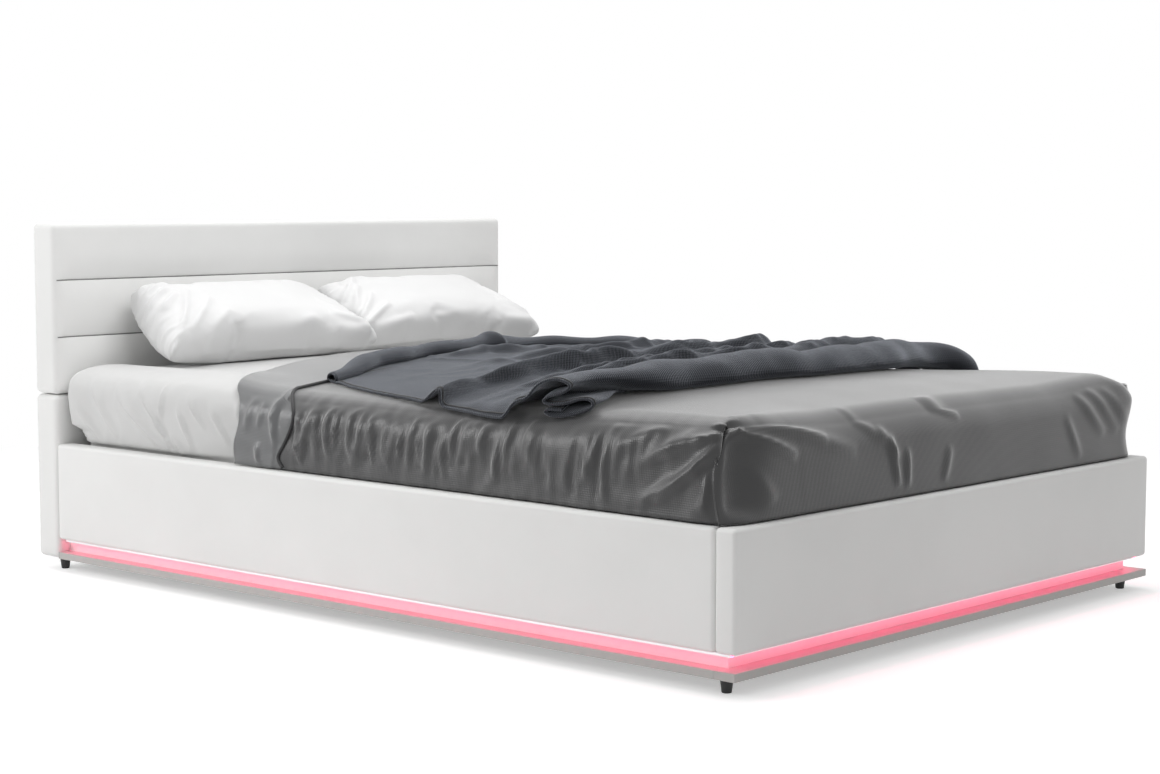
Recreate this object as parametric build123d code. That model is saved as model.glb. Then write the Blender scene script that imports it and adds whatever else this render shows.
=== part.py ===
from build123d import *
import math
import os

# Storage bed with padded panels, a lit recessed plinth and a mattress platform
# that two arms and a gas strut on each side lift from the foot end.
# X is the width, the foot end is towards -Y, the headboard towards +Y, and Z is up.
# Lengths are in millimetres and angles in degrees.

# Overall sizes
mattress_width = 1398.0
mattress_length = 1987.0
mattress_thickness = 204.0
mattress_head_gap = 12.0
mattress_foot_gap = 13.0
platform_side_margin = 1.0
lift_side_gap = 17.0
panel_thickness = 48.0
headboard_thickness = 85.0
headboard_top = 835.0
headboard_split = 425.0
split_gap = 2.0
seam_gap = 0.4
seat_gap = 0.3
cut_overrun = 5.0

# Base: feet, slab boards, plinth boards and storage floor
foot_height = 30.0
foot_top_radius = 13.0
foot_bottom_radius = 9.5
foot_flange_radius = 17.0
foot_flange_height = 3.0
foot_edge_radius = 1.5
front_foot_inset = 46.0
rear_foot_setback = 24.0
side_foot_inset = 36.0
slab_thickness = 16.0
slab_width = 80.0
plinth_height = 31.0
plinth_thickness = 15.0
plinth_side_inset = 33.0
plinth_foot_inset = 40.0
ledger_width = 30.0
floor_thickness = 8.0
floor_joint_gap = 1.0
floor_beam_width = 60.0
middle_foot_count = 3
grommet_radius = 14.0
grommet_flange = 4.0
grommet_bore = 6.0
grommet_lip = 3.0
grommet_inset = 260.0

# Padded panels
rail_height = 230.0
rail_edge_radius = 9.0
rail_board_thickness = 28.0
headboard_edge_radius = 14.0
headboard_board_thickness = 36.0
leather_thickness = 1.5
leather_return = 25.0
back_cloth_thickness = 1.0
back_cloth_margin = 12.0
band_count = 3
groove_depth = 9.0
groove_half_width = 60.0
groove_end_margin = 12.0
groove_run_length = 40.0
groove_end_share = 0.06

# Plates and bolts of the frame
joining_plate_thickness = 3.0
joining_plate_width = 40.0
joining_plate_height = 220.0
joining_plate_count = 3
joining_plate_inset = 260.0
joining_screw_shares = (1 / 8, 3 / 8, 5 / 8, 7 / 8)
bracket_thickness = 2.5
bracket_leg = 52.0
bracket_height = 110.0
bracket_bottom = 110.0
bracket_bend_radius = 4.0
bracket_hole_setback = 34.0
bracket_hole_margin = 22.0
plinth_plate_thickness = 2.0
plinth_plate_width = 60.0
plinth_plate_height = 84.0
plinth_plate_shares = (0.08, 0.55, 0.9)
bolt_radius = 4.0
bolt_head_radius = 7.5
bolt_head_height = 4.0
bolt_length = 24.0
head_bolt_length = 74.0
bolt_clearance = 0.1
screw_radius = 2.5
screw_head_radius = 5.0
screw_head_height = 2.2
screw_length = 16.0
screw_edge_margin = 3.0

# Light under the panels
light_channel_width = 12.0
light_channel_height = 6.0
light_channel_wall = 1.0
light_setback = 8.0
diffuser_thickness = 1.2
driver_length = 150.0
driver_width = 46.0
driver_height = 26.0
driver_radius = 4.0
driver_inset = 150.0
driver_setback = 34.0

# Platform of tubes and slats
bar_width = 30.0
bar_height = 40.0
bar_wall = 1.5
platform_head_setback = 34.0
platform_foot_setback = 42.0
platform_bottom = 222.0
low_bar_height = 18.0
low_bar_shares = (1 / 3, 2 / 3)
slat_count = 13
slat_width = 53.0
slat_thickness = 8.0
slat_end_rise_height = 24.0
slat_end_gap = 1.0
holder_length = 20.0
holder_wall = 3.0
holder_clearance = 0.3
holder_play = 1.2
strap_width = 34.0
strap_thickness = 3.0
strap_length = 160.0
strap_hem = 30.0
strap_rise_height = 16.0

# Lift: arms, pins, brackets and gas struts
plate_thickness = 3.0
arm_thickness = 4.0
arm_width = 26.0
arm_hub_radius = 14.0
arm_inner_gap = 5.0
pin_radius = 5.0
pin_running_clearance = 0.05
pin_fit_clearance = 0.02
pin_head_radius = 8.0
pin_head_height = 2.0
rear_pin_head_distance = 320.0
rear_pin_rise_height = 23.0
rear_arm_length = 300.0
rear_arm_rise_height = 165.0
front_pin_distance = 180.0
front_pin_drop_height = 10.0
front_arm_length = 373.0
slide_pin_rise_height = 175.7
lift_turn = 60.0
platform_turn_share = 0.5
front_turn_share = 0.885
slide_steps = 40
slide_clearance = 0.3
base_plate_margin = 24.0
base_plate_over_pin_height = 36.0
bracket_end_margin = 26.0
strut_foot_distance = 149.0
strut_foot_drop_height = 10.0
strut_head_distance = 66.0
strut_head_height = 12.0
strut_pin_radius = 4.0
strut_head_clearance = 1.1
strut_eye_radius = 10.0
strut_eye_thickness = 7.0
strut_tube_radius = 6.8
strut_tube_wall = 1.0
strut_tube_start_distance = 20.0
strut_rod_radius = 3.0
strut_rod_clear_length = 60.0
strut_rod_inner_length = 70.0
strut_seal_clearance = 0.05
strut_mount_half_width = 13.0
rest_length = 60.0
rest_height = 60.0
rest_width = 42.0
rest_head_distance = 1740.0

# Mattress and bedding
mattress_crown_height = 26.0
mattress_crown_least_height = 1.5
mattress_corner_radius = 22.0
mattress_end_share = 0.9
bedding_end_turns = (0, 45, 90)
bedding_section_shares = (1 / 8, 1 / 4, 1 / 2, 3 / 4, 7 / 8)
sheet_thickness = 2.0
sheet_tuck_depth = 31.0
duvet_thickness = 7.0
duvet_tuck_depth = 15.0
duvet_fold_depth = 4.0
duvet_fold_top_depth = 0.6
duvet_fold_width = 96.0
duvet_fold_top_drop = 20.0
duvet_fold_root_depth = 3.0
duvet_overrun_share = 0.02
turn_back_thickness = 4.0
throw_thickness = 8.0
throw_drop_height = 10.0
throw_tip_share = 0.3
throw_near_share = 0.8
throw_root_depth = 4.0
pillow_side_margin = 95.0
pillow_shift = 20.0
pillow_depth = 292.0
pillow_upper_height = 60.0
pillow_lower_height = 110.0
pillow_seam = 6.0
pillow_draw_in_depth = 14.0
pillow_tilt = 33.0
pillow_hem_distance = 260.0
pillow_hem_rise_height = 41.0
pillow_gap = 8.0
pillow_head_clearance = 7.0
pillow_fullness_shares = ((-1, 0.1), (-0.9, 0.4), (-0.7, 0.74), (-0.4, 0.94), (0, 1),
                          (0.4, 0.94), (0.7, 0.74), (0.9, 0.4), (1, 0.1))

# Outlines of the bedding seen from above, as shares of half the bed's width from its
# middle and of the mattress space's length from the foot panel. A fold of the throw has
# its two ends and its middle, then its width and its height.
duvet_head_edge_shares = [(-1, 0.682), (-0.444, 0.798), (0, 0.845), (1, 0.856)]
turn_back_edge_shares = [(-1, 0.610), (-0.444, 0.646), (1, 0.663)]
throw_outline_shares = [(-1, 0.166), (-0.549, 0.207), (-0.157, 0.184), (0.183, 0.186), (0.837, 0.216),
                        (1, 0.192), (1, 0.709), (0.654, 0.734), (0.261, 0.752), (-0.327, 0.697),
                        (-0.715, 0.632), (-0.9, 0.430), (-1, 0.330)]
throw_folds = [
    ((-0.850, 0.215), (0, 0.225), (0.920, 0.240), 70.0, 24.0),
    ((-0.732, 0.330), (0.052, 0.318), (0.902, 0.365), 170.0, 44.0),
    ((-0.654, 0.470), (0.131, 0.467), (0.902, 0.497), 180.0, 34.0),
    ((-0.640, 0.615), (-0.100, 0.665), (0.850, 0.662), 110.0, 36.0),
]

# Levels and planes worked out from the sizes above
slab_top = foot_height + slab_thickness
rail_bottom = slab_top + plinth_height
rail_top = rail_bottom + rail_height
floor_top = slab_top + floor_thickness
mattress_side = mattress_width / 2
pillow_width = mattress_side - pillow_side_margin - pillow_gap / 2
platform_half_width = mattress_side + platform_side_margin
inner_half = platform_half_width + lift_side_gap
half_width = inner_half + panel_thickness
bed_width = half_width * 2
mattress_space_length = mattress_foot_gap + mattress_length + mattress_head_gap
bed_length = (panel_thickness + mattress_space_length + headboard_thickness
              + joining_plate_thickness)
foot_face = -bed_length / 2
platform_top = platform_bottom + bar_height
mattress_edge_top = platform_top + mattress_thickness
rear_pin_height = platform_bottom + rear_pin_rise_height
foot_inner = foot_face + panel_thickness
head_face = foot_inner + mattress_space_length
head_back = head_face + headboard_thickness
arm_outer_x = platform_half_width + arm_inner_gap + arm_thickness
arm_inner_x = platform_half_width + arm_inner_gap


def from_head(distance):
    return head_face - distance


def from_foot(distance):
    return foot_inner + distance


def block(x, y, z):
    box = Box(x[1] - x[0], y[1] - y[0], z[1] - z[0], align=(Align.MIN, Align.MIN, Align.MIN))
    return Pos(x[0], y[0], z[0]) * box


def mirrored(shape):
    return mirror(shape, about=Plane.YZ)


def both_sides(shape):
    return [shape, mirrored(shape)]


def rod_along_x(radius, x_start, x_end, y, z):
    cylinder = Cylinder(radius, abs(x_end - x_start))
    return Pos((x_start + x_end) / 2, y, z) * Rot(0, 90, 0) * cylinder


def save(name, shape):
    if isinstance(shape, list):
        shape = Compound(children=shape)
    export_step(shape, "parts/" + name + ".step")


os.makedirs("parts", exist_ok=True)


# Padded panels. Each is a board with foam on its face and edges, in a leather cover
# that turns back over the rim of the board's inner face.
# In a panel's own frame X runs along it, its face looks to +Y and it stands on Z zero.

def padded_form(length, thickness, height, radius, inset, cutters):
    depth = (inset, thickness - inset)
    span = (inset - length / 2, length / 2 - inset)
    rise = (inset, height - inset)
    form = block(span, depth, rise)
    form = fillet(form.edges(), radius - inset)
    for cutter in cutters:
        form = form - Pos(0, -inset, 0) * cutter
    return form


def padded_panel(length, thickness, height, radius, board_thickness, cutters=()):
    outer = padded_form(length, thickness, height, radius, 0, cutters)
    inner = padded_form(length, thickness, height, radius, leather_thickness, cutters)
    rim = leather_return
    opening = block((rim - length / 2, length / 2 - rim), (-cut_overrun, thickness / 2),
                    (rim, height - rim))
    cover = outer - inner - opening
    edge = radius
    board_depth = (leather_thickness, leather_thickness + board_thickness)
    board = block((edge - length / 2, length / 2 - edge), board_depth, (edge, height - edge))
    foam = inner - board
    raised = rim + seat_gap
    board = board + block((raised - length / 2, length / 2 - raised),
                          (0, leather_thickness + seat_gap), (raised, height - raised))
    return {"board": board, "foam": foam, "cover": cover}


def groove_section(x, thickness, height, depth, half_width):
    radius = (half_width ** 2 + depth ** 2) / (2 * depth)
    half_turn = math.asin(half_width / radius) / 2
    dip = radius - radius * math.cos(half_turn)
    reach = half_width - radius * math.sin(half_turn)
    plane = Plane.YZ.offset(x)
    front = thickness + cut_overrun
    points = [(front, height - half_width), (front, height + half_width),
              (thickness, height + half_width), (thickness - depth, height),
              (thickness, height - half_width)]
    upper = (thickness - dip, height + reach)
    lower = (thickness - dip, height - reach)
    edges = Curve() + [Line(points[0], points[1]), Line(points[1], points[2]),
                       ThreePointArc(points[2], upper, points[3]),
                       ThreePointArc(points[3], lower, points[4]),
                       Line(points[4], points[0])]
    return plane * make_face(edges)


def groove_cutter(length, thickness, height):
    end = length / 2 - groove_end_margin
    full = end - groove_run_length
    tip = (groove_depth * groove_end_share, groove_half_width * groove_end_share)
    whole = (groove_depth, groove_half_width)
    places = [(-end, tip), (-full, whole), (full, whole), (end, tip)]
    sections = [groove_section(x, thickness, height, *size) for x, size in places]
    return loft(sections, ruled=True)


rail_length = mattress_space_length - 2 * seam_gap
rail_parts = padded_panel(rail_length, panel_thickness, rail_height, rail_edge_radius,
                          rail_board_thickness)
foot_parts = padded_panel(bed_width, panel_thickness, rail_height, rail_edge_radius,
                          rail_board_thickness)
lower_height = headboard_split - split_gap / 2 - foot_height
upper_bottom = headboard_split + split_gap / 2
upper_height = headboard_top - upper_bottom
padded_depth = headboard_thickness - back_cloth_thickness
band_height = upper_height / band_count
cutters = [groove_cutter(bed_width, padded_depth, band_height * (band + 1))
           for band in range(band_count - 1)]
lower_parts = padded_panel(bed_width, padded_depth, lower_height, headboard_edge_radius,
                           headboard_board_thickness)
upper_parts = padded_panel(bed_width, padded_depth, upper_height, headboard_edge_radius,
                           headboard_board_thickness, cutters)

rail_middle = (foot_inner + head_face) / 2
panel_back = head_back - back_cloth_thickness
places = {
    "rail_right": (Pos(inner_half, rail_middle, rail_bottom) * Rot(0, 0, -90), rail_parts),
    "rail_left": (Pos(-inner_half, rail_middle, rail_bottom) * Rot(0, 0, 90), rail_parts),
    "foot_panel": (Pos(0, foot_inner, rail_bottom) * Rot(0, 0, 180), foot_parts),
    "headboard_lower": (Pos(0, panel_back, foot_height) * Rot(0, 0, 180), lower_parts),
    "headboard_upper": (Pos(0, panel_back, upper_bottom) * Rot(0, 0, 180), upper_parts),
}
panels = {}
for panel_name, (place, pieces) in places.items():
    for piece_name, piece in pieces.items():
        panels[panel_name + "_" + piece_name] = place * piece


# Bolts and screws. Each is given by the point under its head, the way its head looks
# and its size, so that the same list makes the fasteners and the holes for them.

def fastener(point, turn, radius, head_radius, head_height, length):
    shank = Pos(0, 0, -length / 2) * Cylinder(radius, length)
    head = Pos(0, 0, head_height / 2) * Cylinder(head_radius, head_height)
    return Pos(*point) * turn * (shank + head)


def hole(point, turn, radius, length):
    depth = length + cut_overrun
    return Pos(*point) * turn * Pos(0, 0, -depth / 2 + cut_overrun) * Cylinder(radius, depth + cut_overrun)


face_minus_x = Rot(0, -90, 0)
face_minus_y = Rot(90, 0, 0)
face_plus_y = Rot(-90, 0, 0)


def corner_bracket(corner_y, direction):
    # An angle in the corner of the right rail and an end panel. Direction is the way
    # from the end panel into the bed.
    inner = inner_half - bracket_thickness
    far = inner_half - bracket_leg
    near_y = corner_y + direction * bracket_thickness
    far_y = corner_y + direction * bracket_leg
    outline = Polyline((inner_half, corner_y), (inner_half, far_y), (inner, far_y),
                       (inner, near_y), (far, near_y), (far, corner_y), close=True)
    shape = extrude(make_face(outline), bracket_height)
    bends = shape.edges().filter_by(Axis.Z).sort_by_distance(Vector(inner, near_y, bracket_height / 2))
    shape = fillet(bends[0], bracket_bend_radius)
    return Pos(0, 0, bracket_bottom) * shape


def bracket_bolts(corner_y, direction, end_length):
    heights = (bracket_bottom + bracket_hole_margin,
               bracket_bottom + bracket_height - bracket_hole_margin)
    end_turn = face_plus_y if direction > 0 else face_minus_y
    bolts = []
    for height in heights:
        rail_point = (inner_half - bracket_thickness, corner_y + direction * bracket_hole_setback, height)
        bolts.append((rail_point, face_minus_x, bolt_length))
        end_point = (inner_half - bracket_hole_setback, corner_y + direction * bracket_thickness, height)
        bolts.append((end_point, end_turn, end_length))
    return bolts


rail_seat_foot = foot_inner
rail_seat_head = head_face
frame_bolts = (bracket_bolts(rail_seat_foot, 1, bolt_length)
               + bracket_bolts(rail_seat_head, -1, head_bolt_length))
bolt_shapes = []
bolt_holes = []
for point, turn, length in frame_bolts:
    bolt = fastener(point, turn, bolt_radius, bolt_head_radius, bolt_head_height, length)
    bore = hole(point, turn, bolt_radius + bolt_clearance, length)
    bolt_shapes += both_sides(bolt)
    bolt_holes += both_sides(bore)
corner_brackets = []
for seat, direction in ((rail_seat_foot, 1), (rail_seat_head, -1)):
    bracket = corner_bracket(seat, direction)
    for bore in bolt_holes[::2]:
        bracket = bracket - bore
    corner_brackets += both_sides(bracket)

# Flat plates across the split of the headboard, on its back
plate_span = bed_width - 2 * joining_plate_inset
plate_pitch = plate_span / (joining_plate_count - 1)
joining_plates = []
plate_bolts = []
plate_holes = []
for index in range(joining_plate_count):
    x = index * plate_pitch - plate_span / 2
    z = headboard_split - joining_plate_height / 2
    plate = block((x - joining_plate_width / 2, x + joining_plate_width / 2),
                  (head_back, head_back + joining_plate_thickness), (z, z + joining_plate_height))
    corners = plate.edges().filter_by(Axis.Y)
    plate = fillet(corners, joining_plate_width / 8)
    for height_share in joining_screw_shares:
        point = (x, head_back + joining_plate_thickness, z + joining_plate_height * height_share)
        bore = hole(point, face_plus_y, screw_radius + bolt_clearance,
                    bolt_length + joining_plate_thickness)
        plate = plate - bore
        sunk = Pos(0, -joining_plate_thickness, 0) * fastener(
            point, face_plus_y, screw_radius, screw_head_radius, joining_plate_thickness, bolt_length)
        seat = Pos(0, -joining_plate_thickness, 0) * fastener(
            point, face_plus_y, screw_radius, screw_head_radius + bolt_clearance,
            joining_plate_thickness, bolt_length)
        plate = plate - seat
        plate_bolts.append(sunk)
        plate_holes.append(bore)
    joining_plates.append(plate)

# Screws of the lift plates, the strut mounts and the rests, all into the rail boards
rear_pivot_y = from_head(rear_pin_head_distance
                         + math.sqrt(rear_arm_length ** 2 - rear_arm_rise_height ** 2))
rear_pivot_z = rear_pin_height - rear_arm_rise_height
front_pivot_y = rear_pivot_y - front_pin_distance
front_pivot_z = rear_pivot_z - front_pin_drop_height
strut_foot_y = rear_pivot_y + strut_foot_distance
strut_foot_z = rear_pivot_z - strut_foot_drop_height
rear_pin_y = from_head(rear_pin_head_distance)
strut_head_y = rear_pin_y + strut_head_distance
strut_head_z = rear_pin_height + strut_head_height
base_plate_bottom = floor_top + seat_gap
plate_inner_x = inner_half - plate_thickness
base_plate_top = rear_pivot_z + base_plate_over_pin_height
screw_row_z = base_plate_top - screw_head_radius - screw_edge_margin
screw_places = [
    (front_pivot_y, screw_row_z),
    ((front_pivot_y + rear_pivot_y) / 2, screw_row_z),
    (rear_pivot_y, screw_row_z),
]
rest_y = from_head(rest_head_distance)
rest_screw_z = platform_bottom - rest_height * 2 / 3
screw_places += [(rest_y + offset * rest_length / 4, rest_screw_z) for offset in (-1, 1)]
lift_screws = []
lift_screw_holes = []
for y, z in screw_places:
    point = (plate_inner_x, y, z)
    screw = fastener(point, face_minus_x, screw_radius, screw_head_radius, screw_head_height, screw_length)
    bore = hole(point, face_minus_x, screw_radius + bolt_clearance, screw_length)
    lift_screws += both_sides(screw)
    lift_screw_holes += both_sides(bore)

# Panels with their holes
drilled = {
    "rail_right": bolt_holes + lift_screw_holes,
    "rail_left": bolt_holes + lift_screw_holes,
    "foot_panel": bolt_holes,
    "headboard_lower": bolt_holes + plate_holes,
    "headboard_upper": plate_holes,
}
for node_name, shape in panels.items():
    panel_name = node_name.rsplit("_", 1)[0]
    box = shape.bounding_box()
    for bore in drilled[panel_name]:
        hit = bore.bounding_box()
        apart = (hit.min.X > box.max.X or hit.max.X < box.min.X
                 or hit.min.Y > box.max.Y or hit.max.Y < box.min.Y
                 or hit.min.Z > box.max.Z or hit.max.Z < box.min.Z)
        if not apart:
            shape = shape - bore
    save(node_name, shape)

back_cloths = []
for bottom, top in ((foot_height, foot_height + lower_height), (upper_bottom, headboard_top)):
    margin = back_cloth_margin
    cloth = block((margin - half_width, half_width - margin), (panel_back, head_back),
                  (bottom + margin, top - margin))
    for bore in plate_holes:
        cloth = cloth - bore
    back_cloths.append(cloth)
save("headboard_back_cloths", back_cloths)
save("joining_plates", joining_plates)
save("corner_brackets", corner_brackets)
save("corner_bolts", bolt_shapes)
save("panel_screws", plate_bolts + lift_screws)


# Base: slab boards, plinth boards, ledger, beam and storage floor
slab_inner = half_width - slab_width
slab_z = (foot_height, slab_top)
slab_foot_inner = foot_face + slab_width
slab_foot = (block((-half_width, half_width), (foot_face, foot_inner), slab_z)
             + block((-slab_inner, slab_inner), (foot_inner, slab_foot_inner), slab_z))
slab_right = block((slab_inner + seam_gap, half_width), (foot_inner + seam_gap, head_face - seam_gap), slab_z)
grommet_x = half_width - grommet_inset
head_ledger = block((-slab_inner, slab_inner), (head_face - ledger_width, head_face - seam_gap), slab_z)
grommet_y = head_face - ledger_width / 2
ledger_hole = Pos(grommet_x, grommet_y, foot_height + slab_thickness / 2) * Cylinder(
    grommet_radius - grommet_flange, slab_thickness + 2 * cut_overrun)
head_ledger = head_ledger - ledger_hole
floor_beam = block((-floor_beam_width / 2, floor_beam_width / 2),
                   (slab_foot_inner + seam_gap, head_face - ledger_width - seam_gap), slab_z)
plinth_outer = half_width - plinth_side_inset
plinth_inner = plinth_outer - plinth_thickness
plinth_front = foot_face + plinth_foot_inset
plinth_back = plinth_front + plinth_thickness
plinth_z = (slab_top, rail_bottom)
plinth_foot = block((-plinth_outer, plinth_outer), (plinth_front, plinth_back), plinth_z)
plinth_right = block((plinth_inner, plinth_outer), (plinth_back + seam_gap, head_face - seam_gap), plinth_z)
storage_floor = block((floor_joint_gap / 2, plinth_inner - seam_gap),
                      (plinth_back + seam_gap, head_face - seam_gap), (slab_top, floor_top))
floor_opening = Pos(grommet_x, grommet_y, slab_top + floor_thickness / 2) * Cylinder(
    grommet_radius + cut_overrun, floor_thickness + 2 * cut_overrun)

save("slab_foot", slab_foot)
save("slab_right", slab_right)
save("slab_left", mirrored(slab_right))
save("floor_bearers", [head_ledger, floor_beam])
save("plinth_foot", plinth_foot)
save("plinth_right", plinth_right)
save("plinth_left", mirrored(plinth_right))
save("storage_floor_right", storage_floor - floor_opening)
save("storage_floor_left", mirrored(storage_floor))

# Rubber grommet where the light's lead leaves through the ledger
grommet_neck = grommet_radius - grommet_flange - seat_gap
grommet_outline = Polyline((grommet_bore, foot_height - grommet_lip),
                           (grommet_radius, foot_height - grommet_lip), (grommet_radius, foot_height),
                           (grommet_neck, foot_height), (grommet_neck, slab_top),
                           (grommet_radius, slab_top), (grommet_radius, slab_top + grommet_lip),
                           (grommet_bore, slab_top + grommet_lip), close=True)
grommet = revolve(Plane.XZ * make_face(grommet_outline), Axis.Z)
save("lead_grommet", Pos(grommet_x, grommet_y, 0) * grommet)


def make_foot():
    outline = Polyline((0, 0), (foot_bottom_radius, 0),
                       (foot_top_radius, foot_height - foot_flange_height),
                       (foot_flange_radius, foot_height - foot_flange_height),
                       (foot_flange_radius, foot_height), (0, foot_height), close=True)
    foot = revolve(Plane.XZ * make_face(outline), Axis.Z)
    rim = foot.edges().filter_by(GeomType.CIRCLE).sort_by(Axis.Z)[0]
    return fillet(rim, foot_edge_radius)


foot = make_foot()
foot_x = half_width - side_foot_inset
foot_places = [(foot_x, foot_face + front_foot_inset), (-foot_x, foot_face + front_foot_inset),
               (foot_x, head_face + rear_foot_setback), (-foot_x, head_face + rear_foot_setback)]
beam_run = head_face - ledger_width - slab_foot_inner
foot_places += [(0, slab_foot_inner + beam_run * (index + 1 / 2) / middle_foot_count)
                for index in range(middle_foot_count)]
save("feet", [Pos(x, y, 0) * foot for x, y in foot_places])

# Flat plates that tie the plinth boards to the rails
plinth_plates = []
for share in plinth_plate_shares:
    y = from_foot(share * mattress_space_length)
    plate = block((inner_half - plinth_plate_thickness, inner_half),
                  (y - plinth_plate_width / 2, y + plinth_plate_width / 2),
                  (base_plate_bottom, base_plate_bottom + plinth_plate_height))
    plinth_plates += both_sides(plate)
save("plinth_plates", plinth_plates)


# Light: an aluminium channel under each panel with a milky cover, and its driver
def light_channel(length):
    half = light_channel_width / 2
    outer = block((-half, half), (0, length), (-light_channel_height, 0))
    wall = light_channel_wall
    inside = block((wall - half, half - wall), (-cut_overrun, length + cut_overrun),
                   (-light_channel_height - cut_overrun, -wall))
    return outer - inside


def light_cover(length):
    half = light_channel_width / 2 - light_channel_wall - seat_gap / 2
    bottom = -light_channel_height
    return block((-half, half), (0, length), (bottom, bottom + diffuser_thickness))


light_x = plinth_outer + light_setback + light_channel_width / 2
light_y = plinth_front - light_setback - light_channel_width / 2
side_light_start = light_y - light_channel_width / 2
side_light_length = head_face - headboard_edge_radius - side_light_start
foot_light_length = 2 * (light_x - light_channel_width / 2 - seam_gap)


def lights(maker):
    side = Pos(light_x, side_light_start, rail_bottom) * maker(side_light_length)
    across = Pos(foot_light_length / 2, light_y, rail_bottom) * Rot(0, 0, 90) * maker(foot_light_length)
    return [side, mirrored(side), across]


save("light_channels", lights(light_channel))
save("light_covers", lights(light_cover))
driver_x = inner_half - driver_inset
driver_y = head_face - driver_setback
driver = block((driver_x - driver_length, driver_x), (driver_y - driver_width, driver_y),
               (floor_top, floor_top + driver_height))
driver = fillet(driver.edges().filter_by(Axis.Z), driver_radius)
save("light_driver", driver)


# Lift. On the right side the base plate stands on the rail, the arms turn beside it on
# its pins, and the platform's bracket hangs on the arms' upper pins. The front arm's
# upper pin slides along a slot in the bracket, because the platform turns at a steady
# share of the arms' turn.

def arm_point(pivot_y, pivot_z, length, angle):
    turn = math.radians(angle)
    return pivot_y + length * math.cos(turn), pivot_z + length * math.sin(turn)


rear_arm_angle = math.degrees(math.asin(rear_arm_rise_height / rear_arm_length))
front_arm_angle = math.degrees(math.asin(slide_pin_rise_height / front_arm_length))


def slide_place(arm_turn):
    # Where the front arm's upper pin lies in the platform's own frame: its distance
    # ahead of the rear pin and its height over it, when the rear arm has turned so far
    rear = arm_point(rear_pivot_y, rear_pivot_z, rear_arm_length, rear_arm_angle + arm_turn)
    front = arm_point(front_pivot_y, front_pivot_z, front_arm_length,
                      front_arm_angle + front_turn_share * arm_turn)
    ahead = rear[0] - front[0]
    above = front[1] - rear[1]
    tilt = math.radians(platform_turn_share * arm_turn)
    return (ahead * math.cos(tilt) + above * math.sin(tilt),
            above * math.cos(tilt) - ahead * math.sin(tilt))


slide_path = [slide_place(lift_turn * step / slide_steps) for step in range(slide_steps + 1)]
slide_first = min(place[0] for place in slide_path)
slide_last = max(place[0] for place in slide_path)
slide_low = min(place[1] for place in slide_path)
slide_high = max(place[1] for place in slide_path)
slot_radius = pin_radius + (slide_high - slide_low) / 2 + slide_clearance
slot_length = slide_last - slide_first
slot_y = rear_pin_y - (slide_first + slide_last) / 2
slot_z = rear_pin_height + (slide_low + slide_high) / 2

base_plate = block((plate_inner_x, inner_half),
                   (front_pivot_y - base_plate_margin, rear_pivot_y + base_plate_margin),
                   (base_plate_bottom, base_plate_top))
base_plate = fillet(base_plate.edges().filter_by(Axis.X), base_plate_margin / 3)
strut_mount = block((plate_inner_x, inner_half),
                    (strut_foot_y - strut_mount_half_width, strut_foot_y + strut_mount_half_width),
                    (base_plate_bottom, strut_foot_z + strut_mount_half_width))
strut_mount = fillet(strut_mount.edges().filter_by(Axis.X), strut_mount_half_width / 3)
for y, z in ((rear_pivot_y, rear_pivot_z), (front_pivot_y, front_pivot_z)):
    base_plate = base_plate - rod_along_x(pin_radius + pin_fit_clearance,
                                          plate_inner_x - cut_overrun, inner_half + cut_overrun, y, z)
strut_mount = strut_mount - rod_along_x(pin_radius + pin_fit_clearance, plate_inner_x - cut_overrun,
                                        inner_half + cut_overrun, strut_foot_y, strut_foot_z)
for bore in lift_screw_holes[::2]:
    base_plate = base_plate - bore
save("lift_base_plates", both_sides(base_plate) + both_sides(strut_mount))


def stepped_pin(seat_x, shoulder_x, journal_x, head_x, y, z, radius):
    # From its seat in a plate over a shoulder and the journal to the rivetted head
    journal = rod_along_x(radius, seat_x, journal_x, y, z)
    shoulder = rod_along_x(pin_head_radius, shoulder_x[0], shoulder_x[1], y, z)
    head = rod_along_x(pin_head_radius, journal_x, head_x, y, z)
    return journal + shoulder + head


lower_shoulder = (plate_inner_x, arm_outer_x + seat_gap)
lower_journal_end = arm_inner_x - seat_gap
lower_head_end = lower_journal_end - pin_head_height
lower_pins = []
for y, z in ((rear_pivot_y, rear_pivot_z), (front_pivot_y, front_pivot_z)):
    pin = stepped_pin(inner_half, lower_shoulder, lower_journal_end, lower_head_end, y, z, pin_radius)
    lower_pins += both_sides(pin)
strut_x = (platform_half_width + inner_half) / 2
eye_outer_x = strut_x + strut_eye_thickness / 2
eye_inner_x = strut_x - strut_eye_thickness / 2
strut_pin = stepped_pin(inner_half, (plate_inner_x, eye_outer_x + seat_gap), eye_inner_x - seat_gap,
                        eye_inner_x - seat_gap - pin_head_height, strut_foot_y, strut_foot_z, pin_radius)
lower_pins += both_sides(strut_pin)
save("lower_pins", lower_pins)

rest_ledge_z = (platform_bottom - plate_thickness, platform_bottom)
rest_span = (rest_y - rest_length / 2, rest_y + rest_length / 2)
rest = (block((plate_inner_x, inner_half), rest_span, (platform_bottom - rest_height, platform_bottom))
        + block((inner_half - rest_width, inner_half), rest_span, rest_ledge_z))
for bore in lift_screw_holes[::2]:
    rest = rest - bore
save("platform_rests", both_sides(rest))


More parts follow.
